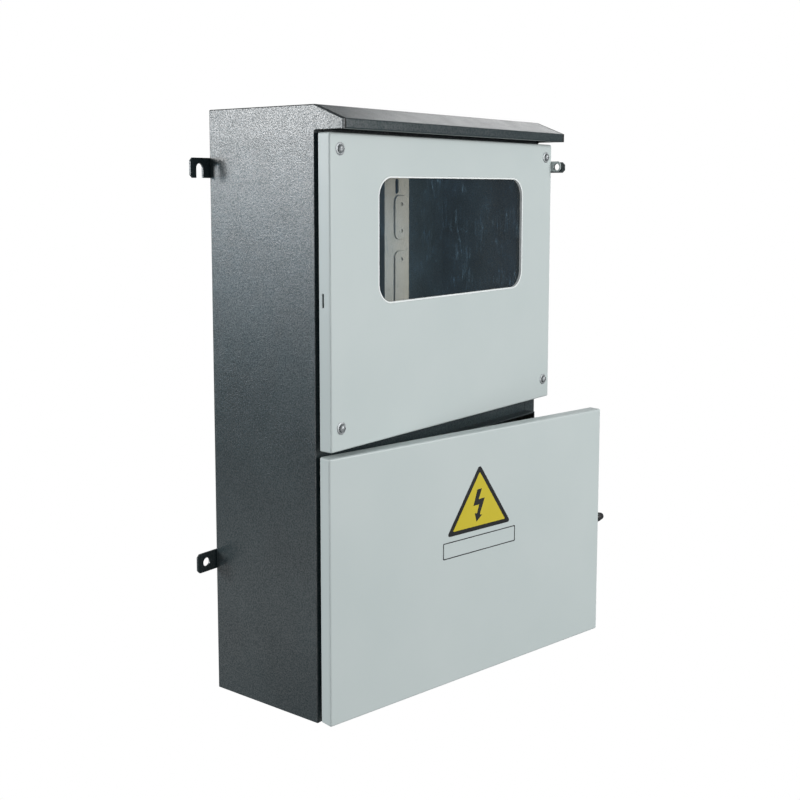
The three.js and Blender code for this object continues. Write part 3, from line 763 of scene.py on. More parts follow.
# ---- body ----------------------------------------------------------------------------------------
@dataclass
class Enclosure:
    """The dark sheet steel body: folded shell, sloping hood, cross bar, wall ears and their bolts.

    Attributes:
        fold: outer radius of a fold in the shell and of the cheeks' outer edges.
        hood_fold: outer radius of the hood's two folds.
        weld_gap: how far the hood stops short of its CAD edge, which leaves a gap that a near-black fill
            of painted shade closes.
        trim: rounding of a sheared and coated edge.
    """

    fold: float = 1.35
    hood_fold: float = 1.3
    weld_gap: float = 2.3
    trim: float = 0.35

    def build(self) -> None:
        """Builds and dresses every piece of the body."""
        self.shell()
        self.hood()
        dressed("cross_bar", BODY_COAT, self.trim)
        dressed("body_seal_lug", BODY_COAT, 0.3)
        for side in ("left", "right"):
            for level in ("upper", "lower"):
                dressed(f"wall_ear_{level}_{side}", BODY_COAT, 0.4)
                dressed(f"ear_bolt_{level}_{side}", ZINC_PLATE, 0.3)

    def shell(self) -> None:
        """The shell, with its long outer edges rolled as folds."""
        low, high = corners("body_shell")
        rim = corners("rain_hood")[1].y + 0.3
        piece = copied("body_shell")

        def outer_fold(at: Vector, heading: Vector) -> bool:
            """True for the long edges along the outside of the box and of its two cheeks."""
            on_side = min(abs(at.x - low.x), abs(at.x - high.x)) < 0.05
            on_back = abs(at.y - high.y) < 0.05
            on_end = min(abs(at.z - low.z), abs(at.z - high.z)) < 0.05
            upright = abs(heading.z) > 0.99 and on_side and (on_back or abs(at.y - rim) < 0.05)
            across = abs(heading.x) > 0.99 and on_end and on_back
            deep = abs(heading.y) > 0.99 and on_end and on_side
            front = abs(heading.x) > 0.99 and abs(at.z - low.z) < 0.05 and abs(at.y - rim) < 0.05
            cheek = at.y < rim and at.z > corners("rain_hood")[0].z + self.fold and on_side
            return upright or across or deep or front or cheek

        with editing(piece, Pick.EDGE):
            select(piece, Pick.EDGE, outer_fold)
            bpy.ops.mesh.bevel(offset=self.fold * MM, segments=4, affect="EDGES")
        soften(piece, self.trim, 2, 40)
        finish(piece, BODY_COAT, "body_shell")

    def hood(self) -> None:
        """The hood sheet, with its nose and lip rolled and a weld gap at each cheek."""
        for side, name in ((-1, "left"), (1, "right")):
            # Each gap gets a near-black fill: painted shade for the shadow in it.
            self.seam(side, f"hood_seam_sealer_{name}")
        low, high = corners("rain_hood")
        piece = copied("rain_hood")
        with editing(piece, Pick.VERT):
            bpy.ops.mesh.select_all(action="SELECT")
            narrower = 1 - 2 * self.weld_gap / (high.x - low.x)
            bpy.ops.transform.resize(value=(narrower, 1, 1), center_override=(0, 0, 0))
        with editing(piece, Pick.EDGE):
            select(
                piece,
                Pick.EDGE,
                lambda at, heading: abs(heading.x) > 0.99 and abs(at.y - low.y) < 0.05,
            )
            bpy.ops.mesh.bevel(offset=self.hood_fold * MM, segments=4, affect="EDGES")
        soften(piece, self.trim, 2, 30)
        finish(piece, BODY_COAT, "rain_hood")

    def seam(self, side: int, name: str) -> None:
        """A near-black fill in the gap between the hood and a cheek, on the hood's own section: painted
        shade standing in for the shadow in that gap.

        Args:
            side: -1 for the left end, 1 for the right.
            name: the piece's name.
        """
        high = corners("rain_hood")[1]
        piece = copied("rain_hood")
        piece.name = name
        width = self.weld_gap + 0.2
        with editing(piece, Pick.VERT):
            bpy.ops.mesh.select_all(action="SELECT")
            bpy.ops.transform.resize(value=(width / (2 * high.x), 1, 1), center_override=(0, 0, 0))
            shift = side * (high.x - self.weld_gap + width / 2) * MM
            bpy.ops.transform.translate(value=(shift, 0.15 * MM, -0.15 * MM))
        soften(piece, 0.2, 1, 30)
        finish(piece, GAP_SHADE_FILL, "rain_hood", stands_for=False)


# ---- leaves --------------------------------------------------------------------------------------
@dataclass
class Leaf:
    """A folded light grey tray that closes one compartment.

    Attributes:
        node: its CAD node.
        sheet: sheet thickness.
        bend: outer radius of the folds and of the welded corners.
    """

    node: str
    sheet: float = 1.5
    bend: float = 2.0

    def tray(self, low: Vector, high: Vector) -> bpy.types.Object:
        """Folds a tray, open at the back.

        Args:
            low: its lowest corner.
            high: its highest corner.

        Returns:
            The tray, without a finish.
        """
        piece = block(f"folded_{self.node}", low, high)
        with editing(piece, Pick.FACE):
            select(piece, Pick.FACE, lambda _, normal: normal.y > 0.9)
            bpy.ops.mesh.delete(type="FACE")
        with editing(piece, Pick.EDGE):
            select(piece, Pick.EDGE, lambda at, _: at.y < high.y - 0.05)
            bpy.ops.mesh.bevel(offset=self.bend * MM, segments=6, affect="EDGES")
        modified(piece, "SOLIDIFY", thickness=self.sheet * MM, offset=-1, use_even_offset=True)
        return piece


@dataclass
class UpperCover(Leaf):
    """The upper cover with its window opening, screw holes and the slot in its left flange.

    Attributes:
        hole: radius of a screw hole.
        window_corner: corner radius of the window opening.
        window_margin: how far the foam tape reaches past the opening.
        slot_y: front and back of the slot in the left flange.
        slot_z: bottom and top of that slot.
    """

    node: str = "upper_cover"
    hole: float = 3.0
    window_corner: float = 21.0
    window_margin: float = 11.0
    slot_y: tuple[float, float] = (-153.7, -151.4)
    slot_z: tuple[float, float] = (410.7, 424)

    def build(self) -> None:
        """Builds the cover, its gasket and its seal lug."""
        low, high = corners("upper_cover")
        piece = self.tray(low, high)
        seal_low, seal_high = corners("window_seal")
        margin = self.window_margin
        opening = rounded_block(
            "window_tool",
            (seal_low.x + margin, low.y - 1, seal_low.z + margin),
            (seal_high.x - margin, low.y + self.sheet + 1, seal_high.z - margin),
            Axis.Y,
            self.window_corner,
            16,
        )
        boolean(piece, opening)
        (front, back), (bottom, top) = self.slot_y, self.slot_z
        slot = block("slot_tool", (low.x - 1, front, bottom), (low.x + self.sheet + 1, back, top))
        boolean(piece, slot)
        for level in ("lower", "upper"):
            for side in ("left", "right"):
                at = middle(f"cover_screw_{level}_{side}")
                drill = rod("drill", Axis.Y, at, self.hole, low.y - 1, low.y + self.sheet + 1)
                boolean(piece, drill)
        soften(piece, 0.45, 3, 40)
        finish(piece, LEAF_COAT, "upper_cover")
        dressed("gasket_upper", FOAM, 0.6)
        dressed("cover_seal_lug", LEAF_COAT, 0.35, 3)


@dataclass
class LowerDoor(Leaf):
    """The hinged lower door, built shut and then swung ajar about its hinge.

    Attributes:
        latch_hole: radius of the hole for the latch's shaft.
        latch_z: height of that hole.
        latch_y: depth of that hole while the door is shut.
    """

    node: str = "lower_door"
    latch_hole: float = 3.3
    latch_z: float = 135.2
    latch_y: float = -155.0
    low: tuple[float, float, float] = (-199.7, -162.2, 1.9)
    high: tuple[float, float, float] = (198.4, -147.8, 267.2)

    def ajar(self) -> Matrix:
        """The turn about the hinge from shut to the door's place at rest."""
        joint = next(j for j in frame["joints"] if j["name"] == "lower_door_hinge")
        hinge = Vector(joint["pos_m"])
        turn = Matrix.Rotation(math.radians(-joint["range_deg"][0]), 4, Vector(joint["axis"]))
        return Matrix.Translation(hinge) @ turn @ Matrix.Translation(-hinge)

    def swing(self, piece: bpy.types.Object) -> bpy.types.Object:
        """Swings a piece that was built on the shut door to where it rests."""
        piece.matrix_world = self.ajar() @ piece.matrix_world
        hold(piece)
        bpy.ops.object.transform_apply(location=True, rotation=True, scale=True)
        return piece

    def build(self) -> None:
        """Builds the door, its gasket and the warning sign."""
        piece = self.tray(Vector(self.low), Vector(self.high))
        drill = rod(
            "drill",
            Axis.X,
            (0, self.latch_y, self.latch_z),
            self.latch_hole,
            self.high[0] - self.sheet - 1,
            self.high[0] + 1,
        )
        boolean(piece, drill)
        soften(piece, 0.45, 3, 40)
        self.swing(piece)
        finish(piece, LEAF_COAT, "lower_door")
        dressed("gasket_lower", FOAM, 0.6)
        WarningSign(self).build()


@dataclass
class WarningSign:
    """A plain hazard triangle and an empty outlined label, printed on thin film.

    Attributes:
        door: the door that it is stuck on.
        apex: x and z of the triangle's top, measured from the door's left edge.
        base: half width and z of its base.
        border: width of the black border.
        film: thickness of the film.
        label_low: x and z of the label's lower left corner.
        label_high: x and z of its upper right corner.
        line: width of the label's outline.
    """

    door: LowerDoor
    apex: tuple[float, float] = (200.5, 232.0)
    base: tuple[float, float] = (47.5, 161.0)
    border: float = 4.6
    film: float = 0.12
    label_low: tuple[float, float] = (147.9, 137.7)
    label_high: tuple[float, float] = (255.4, 155.4)
    line: float = 1.1

    def build(self) -> None:
        """Sticks the triangle, the bolt and the label on the door."""
        left = self.door.low[0]
        front = self.door.low[1]
        centre = left + self.apex[0]
        lift = self.film
        self.stick(self.triangle("sign_border", 0, 5.0, front - lift), BLACK_VINYL)
        self.stick(self.triangle("sign_field", self.border, 1.5, front - 2 * lift), YELLOW_VINYL)
        self.stick(self.bolt(centre, self.base[1], front - 2 * lift), BLACK_VINYL)
        self.stick(self.label(left, front - lift), BLACK_VINYL)

    def triangle(self, name: str, inset: float, corner: float, front: float) -> bpy.types.Object:
        """One triangle of film.

        Args:
            name: its name.
            inset: how far its sides lie inside the sign's outline.
            corner: cut of its corners before they are rounded.
            front: y of its face.

        Returns:
            The piece, before it is swung with the door.
        """
        apex_x, apex_z = self.door.low[0] + self.apex[0], self.apex[1]
        half, foot = self.base
        lean = math.atan2(half, apex_z - foot)
        top, bottom = apex_z - inset / math.sin(lean), foot + inset
        half = (top - bottom) * math.tan(lean)
        piece = strip_outline(
            name, [(apex_x, top), (apex_x - half, bottom), (apex_x + half, bottom)], front, self.film
        )
        with editing(piece, Pick.EDGE):
            select(piece, Pick.EDGE, lambda _, heading: abs(heading.y) > 0.99)
            bpy.ops.mesh.bevel(offset=corner * MM, segments=6, affect="EDGES")
        return piece

    def bolt(self, x: float, foot: float, front: float) -> bpy.types.Object:
        """A zigzag with an arrow point, cut from one piece of black film.

        Args:
            x: its middle.
            foot: z of the triangle's base.
            front: y of the face that it is stuck on.

        Returns:
            The piece, before it is swung with the door.
        """
        points = [
            (-3.6, 44.0), (-9.2, 27.2), (-0.6, 27.6), (-4.0, 18.2), (-7.2, 19.0),
            (-4.6, 9.4), (3.6, 15.6), (0.2, 16.6), (7.6, 33.8), (-1.6, 33.2), (3.2, 44.6),
        ]  # fmt: skip
        outline = [(x + u, foot + v) for u, v in points]
        return strip_outline("sign_bolt", outline, front - self.film, self.film + 0.02)

    def label(self, left: float, front: float) -> bpy.types.Object:
        """A thin black outline with rounded corners.

        Args:
            left: x of the shut door's left edge.
            front: y of the outline's face.

        Returns:
            The piece, before it is swung with the door.
        """
        low, high = self.label_low, self.label_high
        piece = rounded_block(
            "label_outline",
            (left + low[0], front, low[1]),
            (left + high[0], front + self.film + 0.05, high[1]),
            Axis.Y,
            1.2,
            4,
        )
        inner = rounded_block(
            "label_tool",
            (left + low[0] + self.line, front - 1, low[1] + self.line),
            (left + high[0] - self.line, front + 1, high[1] - self.line),
            Axis.Y,
            0.8,
            4,
        )
        boolean(piece, inner)
        return piece

    def stick(self, piece: bpy.types.Object, film: Finish) -> None:
        """Swings a piece of film with the door and fixes it there."""
        self.door.swing(piece)
        finish(piece, film, "lower_door", stands_for=False)


# ---- fastenings and window -----------------------------------------------------------------------
@dataclass
class CoverFastening:
    """Four pan head screws in raised cup washers.

    Attributes:
        head: radius of the screw head.
        shank: radius of its thread.
        pitch: thread pitch.
        blade: half width of each arm of the cross recess.
        washer: outer radius of the cup washer.
    """

    head: float = 3.9
    shank: float = 2.5
    pitch: float = 0.8
    blade: float = 0.55
    washer: float = 6.1

    def build(self) -> None:
        """Makes one screw and one washer and copies them to the four places."""
        names = [f"{level}_{side}" for level in ("lower", "upper") for side in ("left", "right")]
        first = middle(f"cover_screw_{names[0]}")
        screw, washer = self.screw(first), self.cup(first)
        for name in names[1:]:
            step = middle(f"cover_screw_{name}") - first
            finish(duplicate(screw, f"pan_head_screw_{name}", step), ZINC_PLATE, f"cover_screw_{name}")
            finish(duplicate(washer, f"pressed_washer_{name}", step), ZINC_PLATE, f"cup_washer_{name}")
        finish(screw, ZINC_PLATE, f"cover_screw_{names[0]}")
        finish(washer, ZINC_PLATE, f"cup_washer_{names[0]}")

    def screw(self, at: Vector) -> bpy.types.Object:
        """A domed head with a cross recess on a threaded shank.

        Args:
            at: middle of the screw.

        Returns:
            The screw, without a finish.
        """
        low, high = corners("cover_screw_lower_left")
        seat = low.y + 2.6
        crest, root = self.shank, self.shank - 0.35
        profile = [(0.6, low.y), (1.7, low.y + 0.12), (2.8, low.y + 0.5), (3.5, low.y + 1.1),
                   (self.head, low.y + 1.8), (self.head, seat), (root, seat)]  # fmt: skip
        depth = seat + 1.0
        while depth < high.y - 1.6:
            profile += [(crest, depth), (root, depth + self.pitch / 2)]
            depth += self.pitch
        profile.append((1.4, high.y))
        piece = turned("pan_head_screw_lower_left", Axis.Y, at, profile, 40)
        for wide, tall in ((2.5, self.blade), (self.blade, 2.5)):
            blade = block(
                "blade",
                (at.x - wide, low.y - 1, at.z - tall),
                (at.x + wide, low.y + 1.5, at.z + tall),
            )
            boolean(piece, blade)
        soften(piece, 0.12, 1, 50)
        return piece

    def cup(self, at: Vector) -> bpy.types.Object:
        """A washer pressed up around the screw head.

        Args:
            at: middle of the screw.

        Returns:
            The washer, without a finish.
        """
        low, high = corners("cup_washer_lower_left")
        r = self.washer
        rise = high.y - low.y
        profile = [(2.8, high.y), (r, high.y), (r, high.y - 0.25), (r - 0.5, low.y + rise * 0.45),
                   (r - 1.2, low.y), (r - 1.8, low.y + rise * 0.1), (4.1, low.y + rise * 0.45),
                   (2.8, low.y + rise * 0.55), (2.8, high.y)]  # fmt: skip
        piece = turned("pressed_washer_lower_left", Axis.Y, at, profile, 48)
        hold(piece)
        bpy.ops.object.shade_smooth_by_angle(angle=math.radians(50))
        return piece


@dataclass
class Window:
    """The clear pane, the foam tape that beds it and the white bead around the opening.

    Attributes:
        corner: radius of the pane's corners.
        opening_corner: radius of the cover's opening.
        bead: width of the sealant bead.
        margin: how far the tape reaches past the opening.
    """

    corner: float = 5.0
    opening_corner: float = 21.0
    bead: float = 1.7
    margin: float = 11.0

    def sealant(self) -> None:
        """The bead that fills the edge of the opening, a little proud of the sheet."""
        low, high = corners("window_seal")
        front = corners("upper_cover")[0].y
        back = corners("window_pane")[0].y - 0.05
        inset = self.margin + 0.1
        ring = rounded_block(
            "window_sealant_bead",
            (low.x + inset, front - 0.15, low.z + inset),
            (high.x - inset, back, high.z - inset),
            Axis.Y,
            self.opening_corner,
            16,
        )
        inset += self.bead
        core = rounded_block(
            "bead_tool",
            (low.x + inset, front - 2, low.z + inset),
            (high.x - inset, back + 2, high.z - inset),
            Axis.Y,
            self.opening_corner - self.bead,
            16,
        )
        boolean(ring, core)
        soften(ring, 0.3, 2, 40)
        finish(ring, SEALANT, "window_seal", stands_for=False)

    def build(self) -> None:
        """Builds the pane, the tape and the bead."""
        self.sealant()
        low, high = corners("window_pane")
        pane = rounded_block("clear_window_pane", low, high, Axis.Y, self.corner, 6)
        soften(pane, 0.3, 2, 40)
        finish(pane, PANE, "window_pane")
        dressed("window_seal", FOAM, 0.2)


# ---- hinges and latch ----------------------------------------------------------------------------
@dataclass
class Hinges:
    """Two lift-off hinges: leaves with smooth knuckles on zinc-plated pins.

    Attributes:
        count: how many there are.
        edge: rounding of the leaf edges.
    """

    count: int = 2
    edge: float = 0.25

    def build(self) -> None:
        """Dresses the leaves and turns the pins."""
        for i in range(1, self.count + 1):
            dressed(f"hinge_body_leaf_{i}", DRAWN_STEEL, self.edge)
            dressed(f"hinge_door_leaf_{i}", DRAWN_STEEL, self.edge)
            low, high = corners(f"hinge_pin_{i}")
            r = (high.x - low.x) / 2
            profile = [(r - 0.5, low.z), (r, low.z + 0.5), (r, high.z - 1.2), (r - 0.7, high.z)]
            pin = turned(f"turned_hinge_pin_{i}", Axis.Z, middle(f"hinge_pin_{i}"), profile, 32)
            hold(pin)
            bpy.ops.object.shade_smooth_by_angle(angle=math.radians(40))
            finish(pin, ZINC_PLATE, f"hinge_pin_{i}")


@dataclass
class Latch:
    """The quarter-turn latch: a tapered black knob, its cam and its keeper.

    Attributes:
        door: the door that it is fitted in.
        flutes: grip flutes around the knob.
    """

    door: LowerDoor
    flutes: int = 10

    def build(self) -> None:
        """Builds the knob on the shut door, swings it, and dresses the cam and keeper."""
        x = self.door.high[0]
        at = Vector((x, self.door.latch_y, self.door.latch_z))
        profile = [(3.0, x - 7.2), (3.0, x + 0.3), (6.2, x + 0.3), (6.2, x + 1.3), (5.7, x + 1.8),
                   (5.4, x + 2.0), (5.45, x + 6.8), (5.2, x + 7.6), (4.45, x + 10.9),
                   (3.7, x + 13.6), (3.1, x + 14.3), (2.2, x + 14.5)]  # fmt: skip
        knob = turned("tapered_latch_knob", Axis.X, at, profile, 60)
        for i in range(self.flutes):
            angle = 2 * math.pi * i / self.flutes
            side = Vector((0, math.cos(angle) * 6.3, math.sin(angle) * 6.3))
            boolean(knob, rod("flute", Axis.X, at + side, 1.1, x + 3.0, x + 9.5, 12))
        soften(knob, 0.15, 1, 40)
        self.door.swing(knob)
        finish(knob, BLACK_NYLON, "latch_barrel")
        dressed("latch_cam", ZINC_PLATE, 0.25)
        dressed("latch_keeper", ZINC_PLATE, 0.25)


# ---- meter strips --------------------------------------------------------------------------------
@dataclass
class MeterStrips:
    """Two folded strips for a meter, with embossed pads and fixing holes.

    Attributes:
        sheet: sheet thickness; not used.
        pad_rise: how far an embossed pad stands proud.
        pad_gap: distance from the strip's inner edge to a pad.
        pads: lowest and highest z of each pad.
        pad_edge: distance from the strip's outer edge to a pad.
        pad_corner: radius of a pad's corners.
        fixing: radius of a fixing hole.
        fixing_inset: distance from a pad's end to its fixing hole.
    """

    sheet: float = 1.5
    pad_rise: float = 1.8
    pad_gap: float = 18.0
    pads: tuple[tuple[float, float], ...] = ((312, 356), (364, 448), (462, 514))
    pad_edge: float = 3.5
    pad_corner: float = 8
    fixing: float = 2.2
    fixing_inset: float = 10

    def build(self) -> None:
        """Builds both strips."""
        for side in ("left", "right"):
            self.strip(side)

    def strip(self, side: str) -> None:
        """Dresses one strip and adds its pads."""
        node = f"meter_strip_{side}"
        low, high = corners(node)
        piece = copied(node)
        if side == "right":
            pad_x = (low.x + self.pad_gap, high.x - self.pad_edge)
        else:
            pad_x = (low.x + self.pad_edge, high.x - self.pad_gap)
        soften(piece, 0.35, 2, 40)
        finish(piece, STRIP_ENAMEL, node)
        for i, (z0, z1) in enumerate(self.pads):
            self.pad(f"strip_pad_{side}_{i + 1}", pad_x, (z0, z1), low.y, node)

    def pad(
        self, name: str, across: tuple[float, float], up: tuple[float, float], face: float, node: str
    ) -> None:
        """An embossed pad with sloping sides and a fixing hole near each end.

        Args:
            name: the pad's name.
            across: its lowest and highest x.
            up: its lowest and highest z.
            face: y of the strip's face.
            node: the strip that it is pressed in.
        """
        piece = rounded_block(
            name,
            (across[0], face - self.pad_rise, up[0]),
            (across[1], face + 0.4, up[1]),
            Axis.Y,
            self.pad_corner,
            8,
        )
        with editing(piece, Pick.FACE):
            select(piece, Pick.FACE, lambda _, normal: normal.y < -0.9)
            bpy.ops.mesh.inset(thickness=0.01 * MM)
            front = face - self.pad_rise
            centre = Vector(((across[0] + across[1]) / 2, front, (up[0] + up[1]) / 2)) * MM
            width, height = across[1] - across[0], up[1] - up[0]
            slope = 2 * self.pad_rise
            bpy.ops.transform.resize(
                value=(1 - slope / width, 1, 1 - slope / height), center_override=centre
            )
        middle_x = (across[0] + across[1]) / 2
        for z in (up[0] + self.fixing_inset, up[1] - self.fixing_inset):
            drill = rod("drill", Axis.Y, (middle_x, 0, z), self.fixing, face - 3, face - 0.2, 24)
            boolean(piece, drill)
        soften(piece, 0.5, 3, 25)
        finish(piece, STRIP_ENAMEL, node, stands_for=False)


# ---- switchgear ----------------------------------------------------------------------------------
@dataclass
class Switchgear:
    """Everything behind the lower door: plate, rail, switch, breaker, arrester, terminals, earth bar.

    Attributes:
        edge: rounding of moulded edges.
        disc: how far the handle's disc stands off its back.
        grip: half width and half length of the handle's grip.
        rail_z: height of the rail's middle.
        terminals: how many terminals the block has, and their pitch.
        slot: half width of a clamp screw's slot.
    """

    edge: float = 0.6
    disc: float = 5.7
    grip: tuple[float, float] = (5, 21)
    rail_z: float = 160.0
    terminals: tuple[int, float] = (10, 8)
    slot: float = 0.35

    def build(self) -> None:
        """Builds and dresses the switchgear."""
        dressed("mounting_plate", SPANGLED_ZINC, 0.35)
        dressed("din_rail", ZINC_PLATE, 0.25)
        for node in ("isolator_body", "breaker_body", "surge_base"):
            dressed(node, PALE_NYLON, self.edge, 3, 30)
        dressed("terminal_block", PALE_NYLON, 0.3, 2, 30)
        dressed("breaker_toggle", BLACK_NYLON, 0.8, 3, 30)
        for i in (1, 2):
            dressed(f"surge_cartridge_{i}", YELLOW_NYLON, 0.7, 3, 30)
        self.handle()
        dressed("earth_bar", BRASS, 0.4, 2, 30)
        self.screws()

    def handle(self) -> None:
        """The disc and finger grip of the switch."""
        low, high = corners("isolator_handle")
        at = middle("isolator_handle")
        r = (high.x - low.x) / 2
        back, disc = high.y, high.y - self.disc
        wide, tall = self.grip
        profile = [(r, back), (r, disc + 2), (r - 0.7, disc + 0.9), (r - 2.2, disc), (3, disc)]
        piece = turned("finger_grip_handle", Axis.Y, at, profile, 64)
        grip = rounded_block(
            "grip",
            (at.x - wide, low.y, at.z - tall),
            (at.x + wide, disc + 1, at.z + tall),
            Axis.Y,
            4.5,
            8,
        )
        boolean(piece, grip, "UNION")
        soften(piece, 0.9, 3, 40)
        finish(piece, RED_NYLON, "isolator_handle")

    def screws(self) -> None:
        """A slotted clamp screw at the bottom of every terminal well."""
        wells: list[tuple[float, float, float]] = []
        for node, offsets, rise, depth in (
            ("isolator_body", (-25, -8.3, 8.3, 25), 38.5, -49.2),
            ("breaker_body", (-9, 9), 33.0, -55.2),
            ("surge_base", (-9, 9), 35.0, -54.2),
        ):
            x = middle(node).x
            wells += [(x + dx, self.rail_z + dz, depth) for dx in offsets for dz in (rise, -rise)]
        x0 = corners("terminal_block")[0].x
        count, pitch = self.terminals
        wells += [
            (x0 + pitch * (i + 0.5), self.rail_z + dz, -57.2) for i in range(count) for dz in (9, -9)
        ]
        x, z, depth = wells[0]
        first = turned(
            "clamp_screws",
            Axis.Y,
            (x, 0, z),
            [(2.1, depth - 1.3), (2.4, depth - 1.0), (2.4, depth + 1.0)],
            20,
        )
        slit = block("slit", (x - 3, depth - 2, z - self.slot), (x + 3, depth - 0.7, z + self.slot))
        boolean(first, slit)
        copies = [first]
        for i, (other_x, other_z, other_depth) in enumerate(wells[1:]):
            step = (other_x - x, other_depth - depth, other_z - z)
            copies.append(duplicate(first, f"clamp_screw_{i}", step))
        piece = joined(*copies)
        hold(piece)
        bpy.ops.object.shade_smooth_by_angle(angle=math.radians(40))
        finish(piece, ZINC_PLATE, "terminal_block", stands_for=False)


@dataclass
class Wiring:
    """The five wires of the lower compartment, smooth tubes on the CAD routes.

    Attributes:
        radius: radius over the insulation.
        routes: the points that each wire runs through, in millimetres.
    """

    radius: float = 2.4
    routes: dict[str, list[tuple[float, float, float]]] = field(
        default_factory=lambda: {
            "wire_positive": [(-140, -46, 116), (-140, -46, 108), (-132, -47, 98), (-100, -48, 94),
                              (-68, -48, 98), (-59, -48, 108), (-59, -48, 116)],
            "wire_negative": [(-106.7, -38, 116), (-106.7, -37, 106), (-98, -36, 93), (-75, -36, 87),
                              (-50, -36, 93), (-41, -37, 106), (-41, -38, 116)],
            "wire_surge_positive": [(-59, -50, 204), (-59, -50, 212), (-51, -50, 221),
                                    (-35, -50, 224), (-19, -50, 221), (-11, -50, 213),
                                    (-11, -50, 205)],
            "wire_surge_negative": [(-41, -38, 204), (-41, -38, 214), (-33, -38, 225),
                                    (-17, -38, 229), (-1, -38, 225), (7, -38, 214), (7, -38, 205)],
            "wire_earth": [(-2, -46, 115), (-2, -46, 104), (2, -43, 88), (14, -34, 70),
                           (22, -30, 62), (29, -29.5, 60)],
        }
    )  # fmt: skip

    def build(self) -> None:
        """Makes each wire's tube."""
        coats = {"positive": RED_PVC, "negative": BLACK_PVC, "earth": GREEN_PVC}
        for node, route in self.routes.items():
            coat = coats[node.rsplit("_", 1)[1]]
            finish(self.tube(f"insulated_{node}", route), coat, node)

    def tube(self, name: str, route: list[tuple[float, float, float]]) -> bpy.types.Object:
        """A round tube on a smooth curve through the points of a route.

        Args:
            name: the tube's name.
            route: its points, in millimetres.

        Returns:
            The tube, without a finish.
        """
        curve = bpy.data.curves.new(name, "CURVE")
        curve.dimensions = "3D"
        curve.bevel_depth = self.radius * MM
        curve.bevel_resolution = 4
        curve.resolution_u = 10
        curve.use_fill_caps = True
        spline = curve.splines.new("BEZIER")
        spline.bezier_points.add(len(route) - 1)
        for knot, point in zip(spline.bezier_points, route):
            knot.co = Vector(point) * MM
            knot.handle_left_type = knot.handle_right_type = "AUTO"
        piece = bpy.data.objects.new(name, curve)
        bpy.context.scene.collection.objects.link(piece)
        hold(piece)
        bpy.ops.object.convert(target="MESH")
        piece = bpy.context.active_object
        with editing(piece):
            bpy.ops.mesh.select_all(action="SELECT")
            bpy.ops.mesh.remove_doubles(threshold=1e-6)
            bpy.ops.mesh.normals_make_consistent(inside=False)
        hold(piece)
        bpy.ops.object.shade_smooth_by_angle(angle=math.radians(50))
        return piece


# ---- glands --------------------------------------------------------------------------------------
@dataclass
class Glands:
    """Three cable glands under the box: hexagon, domed nut and inner lock nut, the gland in one black
    moulding with an open bore.

    Attributes:
        count: how many there are.
        ribs: grip ribs around the dome nut.
        bore: radius of the way through.
        crest: outer radius of the thread.
        root: inner radius of the thread.
        pitch: thread pitch.
        hexagon: corner radius and thickness of the hexagon.
    """

    count: int = 3
    ribs: int = 12
    bore: float = 7.5
    crest: float = 12.2
    root: float = 11.5
    pitch: float = 1.5
    hexagon: tuple[float, float] = (16.5, 7.7)

    def build(self) -> None:
        """Builds the first gland and its lock nut, and copies them."""
        first = middle("gland_1")
        piece = self.gland(first)
        for i in range(2, self.count + 1):
            step = middle(f"gland_{i}") - first
            finish(duplicate(piece, f"moulded_gland_{i}", step), BLACK_NYLON, f"gland_{i}")
        finish(piece, BLACK_NYLON, "gland_1")
        for i in range(1, self.count + 1):
            dressed(f"gland_nut_{i}", BLACK_NYLON, 0.5)

    def gland(self, at: Vector) -> bpy.types.Object:
        """Turns the dome and the threaded shank, and joins the hexagon to them.

        Args:
            at: middle of the gland.

        Returns:
            The gland, without a finish.
        """
        low, high = corners("gland_1")
        z = low.z
        bore = self.bore
        profile = [(bore, z + 1), (bore + 0.8, z), (10.2, z), (11.6, z + 0.5), (12.9, z + 2.2),
                   (13.8, z + 5), (14.6, z + 9), (14.6, z + 17.2),
                   (13.2, z + 17.2), (13.2, z + 22)]  # fmt: skip
        height = 0.5
        while height < high.z - self.pitch:
            profile += [(self.root, height), (self.crest, height + self.pitch / 2)]
            height += self.pitch
        profile += [(11.4, high.z), (bore, high.z), (bore, z + 1)]
        piece = turned("moulded_gland_1", Axis.Z, at, profile, 60)
        hold()
        across, thickness = self.hexagon
        bpy.ops.mesh.primitive_cylinder_add(
            vertices=6,
            radius=across * MM,
            depth=thickness * MM,
            location=(at.x * MM, at.y * MM, (-8 + 3.85) * MM),
            rotation=(0, 0, math.pi / 6),
        )
        hexagon = placed("hexagon")
        boolean(hexagon, rod("bore", Axis.Z, at, bore + 2, -9, 1, 48))
        boolean(piece, hexagon, "UNION")
        for i in range(self.ribs):
            angle = 2 * math.pi * (i + 0.5) / self.ribs
            side = Vector((math.cos(angle) * 15.6, math.sin(angle) * 15.6, 0))
            boolean(piece, rod("groove", Axis.Z, at + side, 1.6, z + 6.5, z + 16.0, 10))
        soften(piece, 0.3, 2, 45)
        return piece


# ---- studio --------------------------------------------------------------------------------------
@dataclass(frozen=True)
class Softbox:
    """One area light.

    Attributes:
        name: what it lights.
        place: its centre, in metres.
        target: the point it faces.
        size: width and height, in metres.
        power: in watts.
        tint: linear colour of the light.
    """

    name: str
    place: tuple[float, float, float]
    target: tuple[float, float, float]
    size: tuple[float, float]
    power: float
    tint: tuple[float, float, float] = (1.0, 1.0, 1.0)

    def build(self) -> None:
        """Hangs the light and points it at its target."""
        lamp = bpy.data.lights.new(self.name, "AREA")
        lamp.shape = "RECTANGLE"
        lamp.size, lamp.size_y = self.size
        lamp.energy = self.power
        lamp.color = self.tint
        holder = bpy.data.objects.new(self.name, lamp)
        bpy.context.scene.collection.objects.link(holder)
        holder.location = self.place
        heading = Vector(self.target) - Vector(self.place)
        holder.rotation_euler = heading.to_track_quat("-Z", "Y").to_euler()
        holder.visible_camera = False


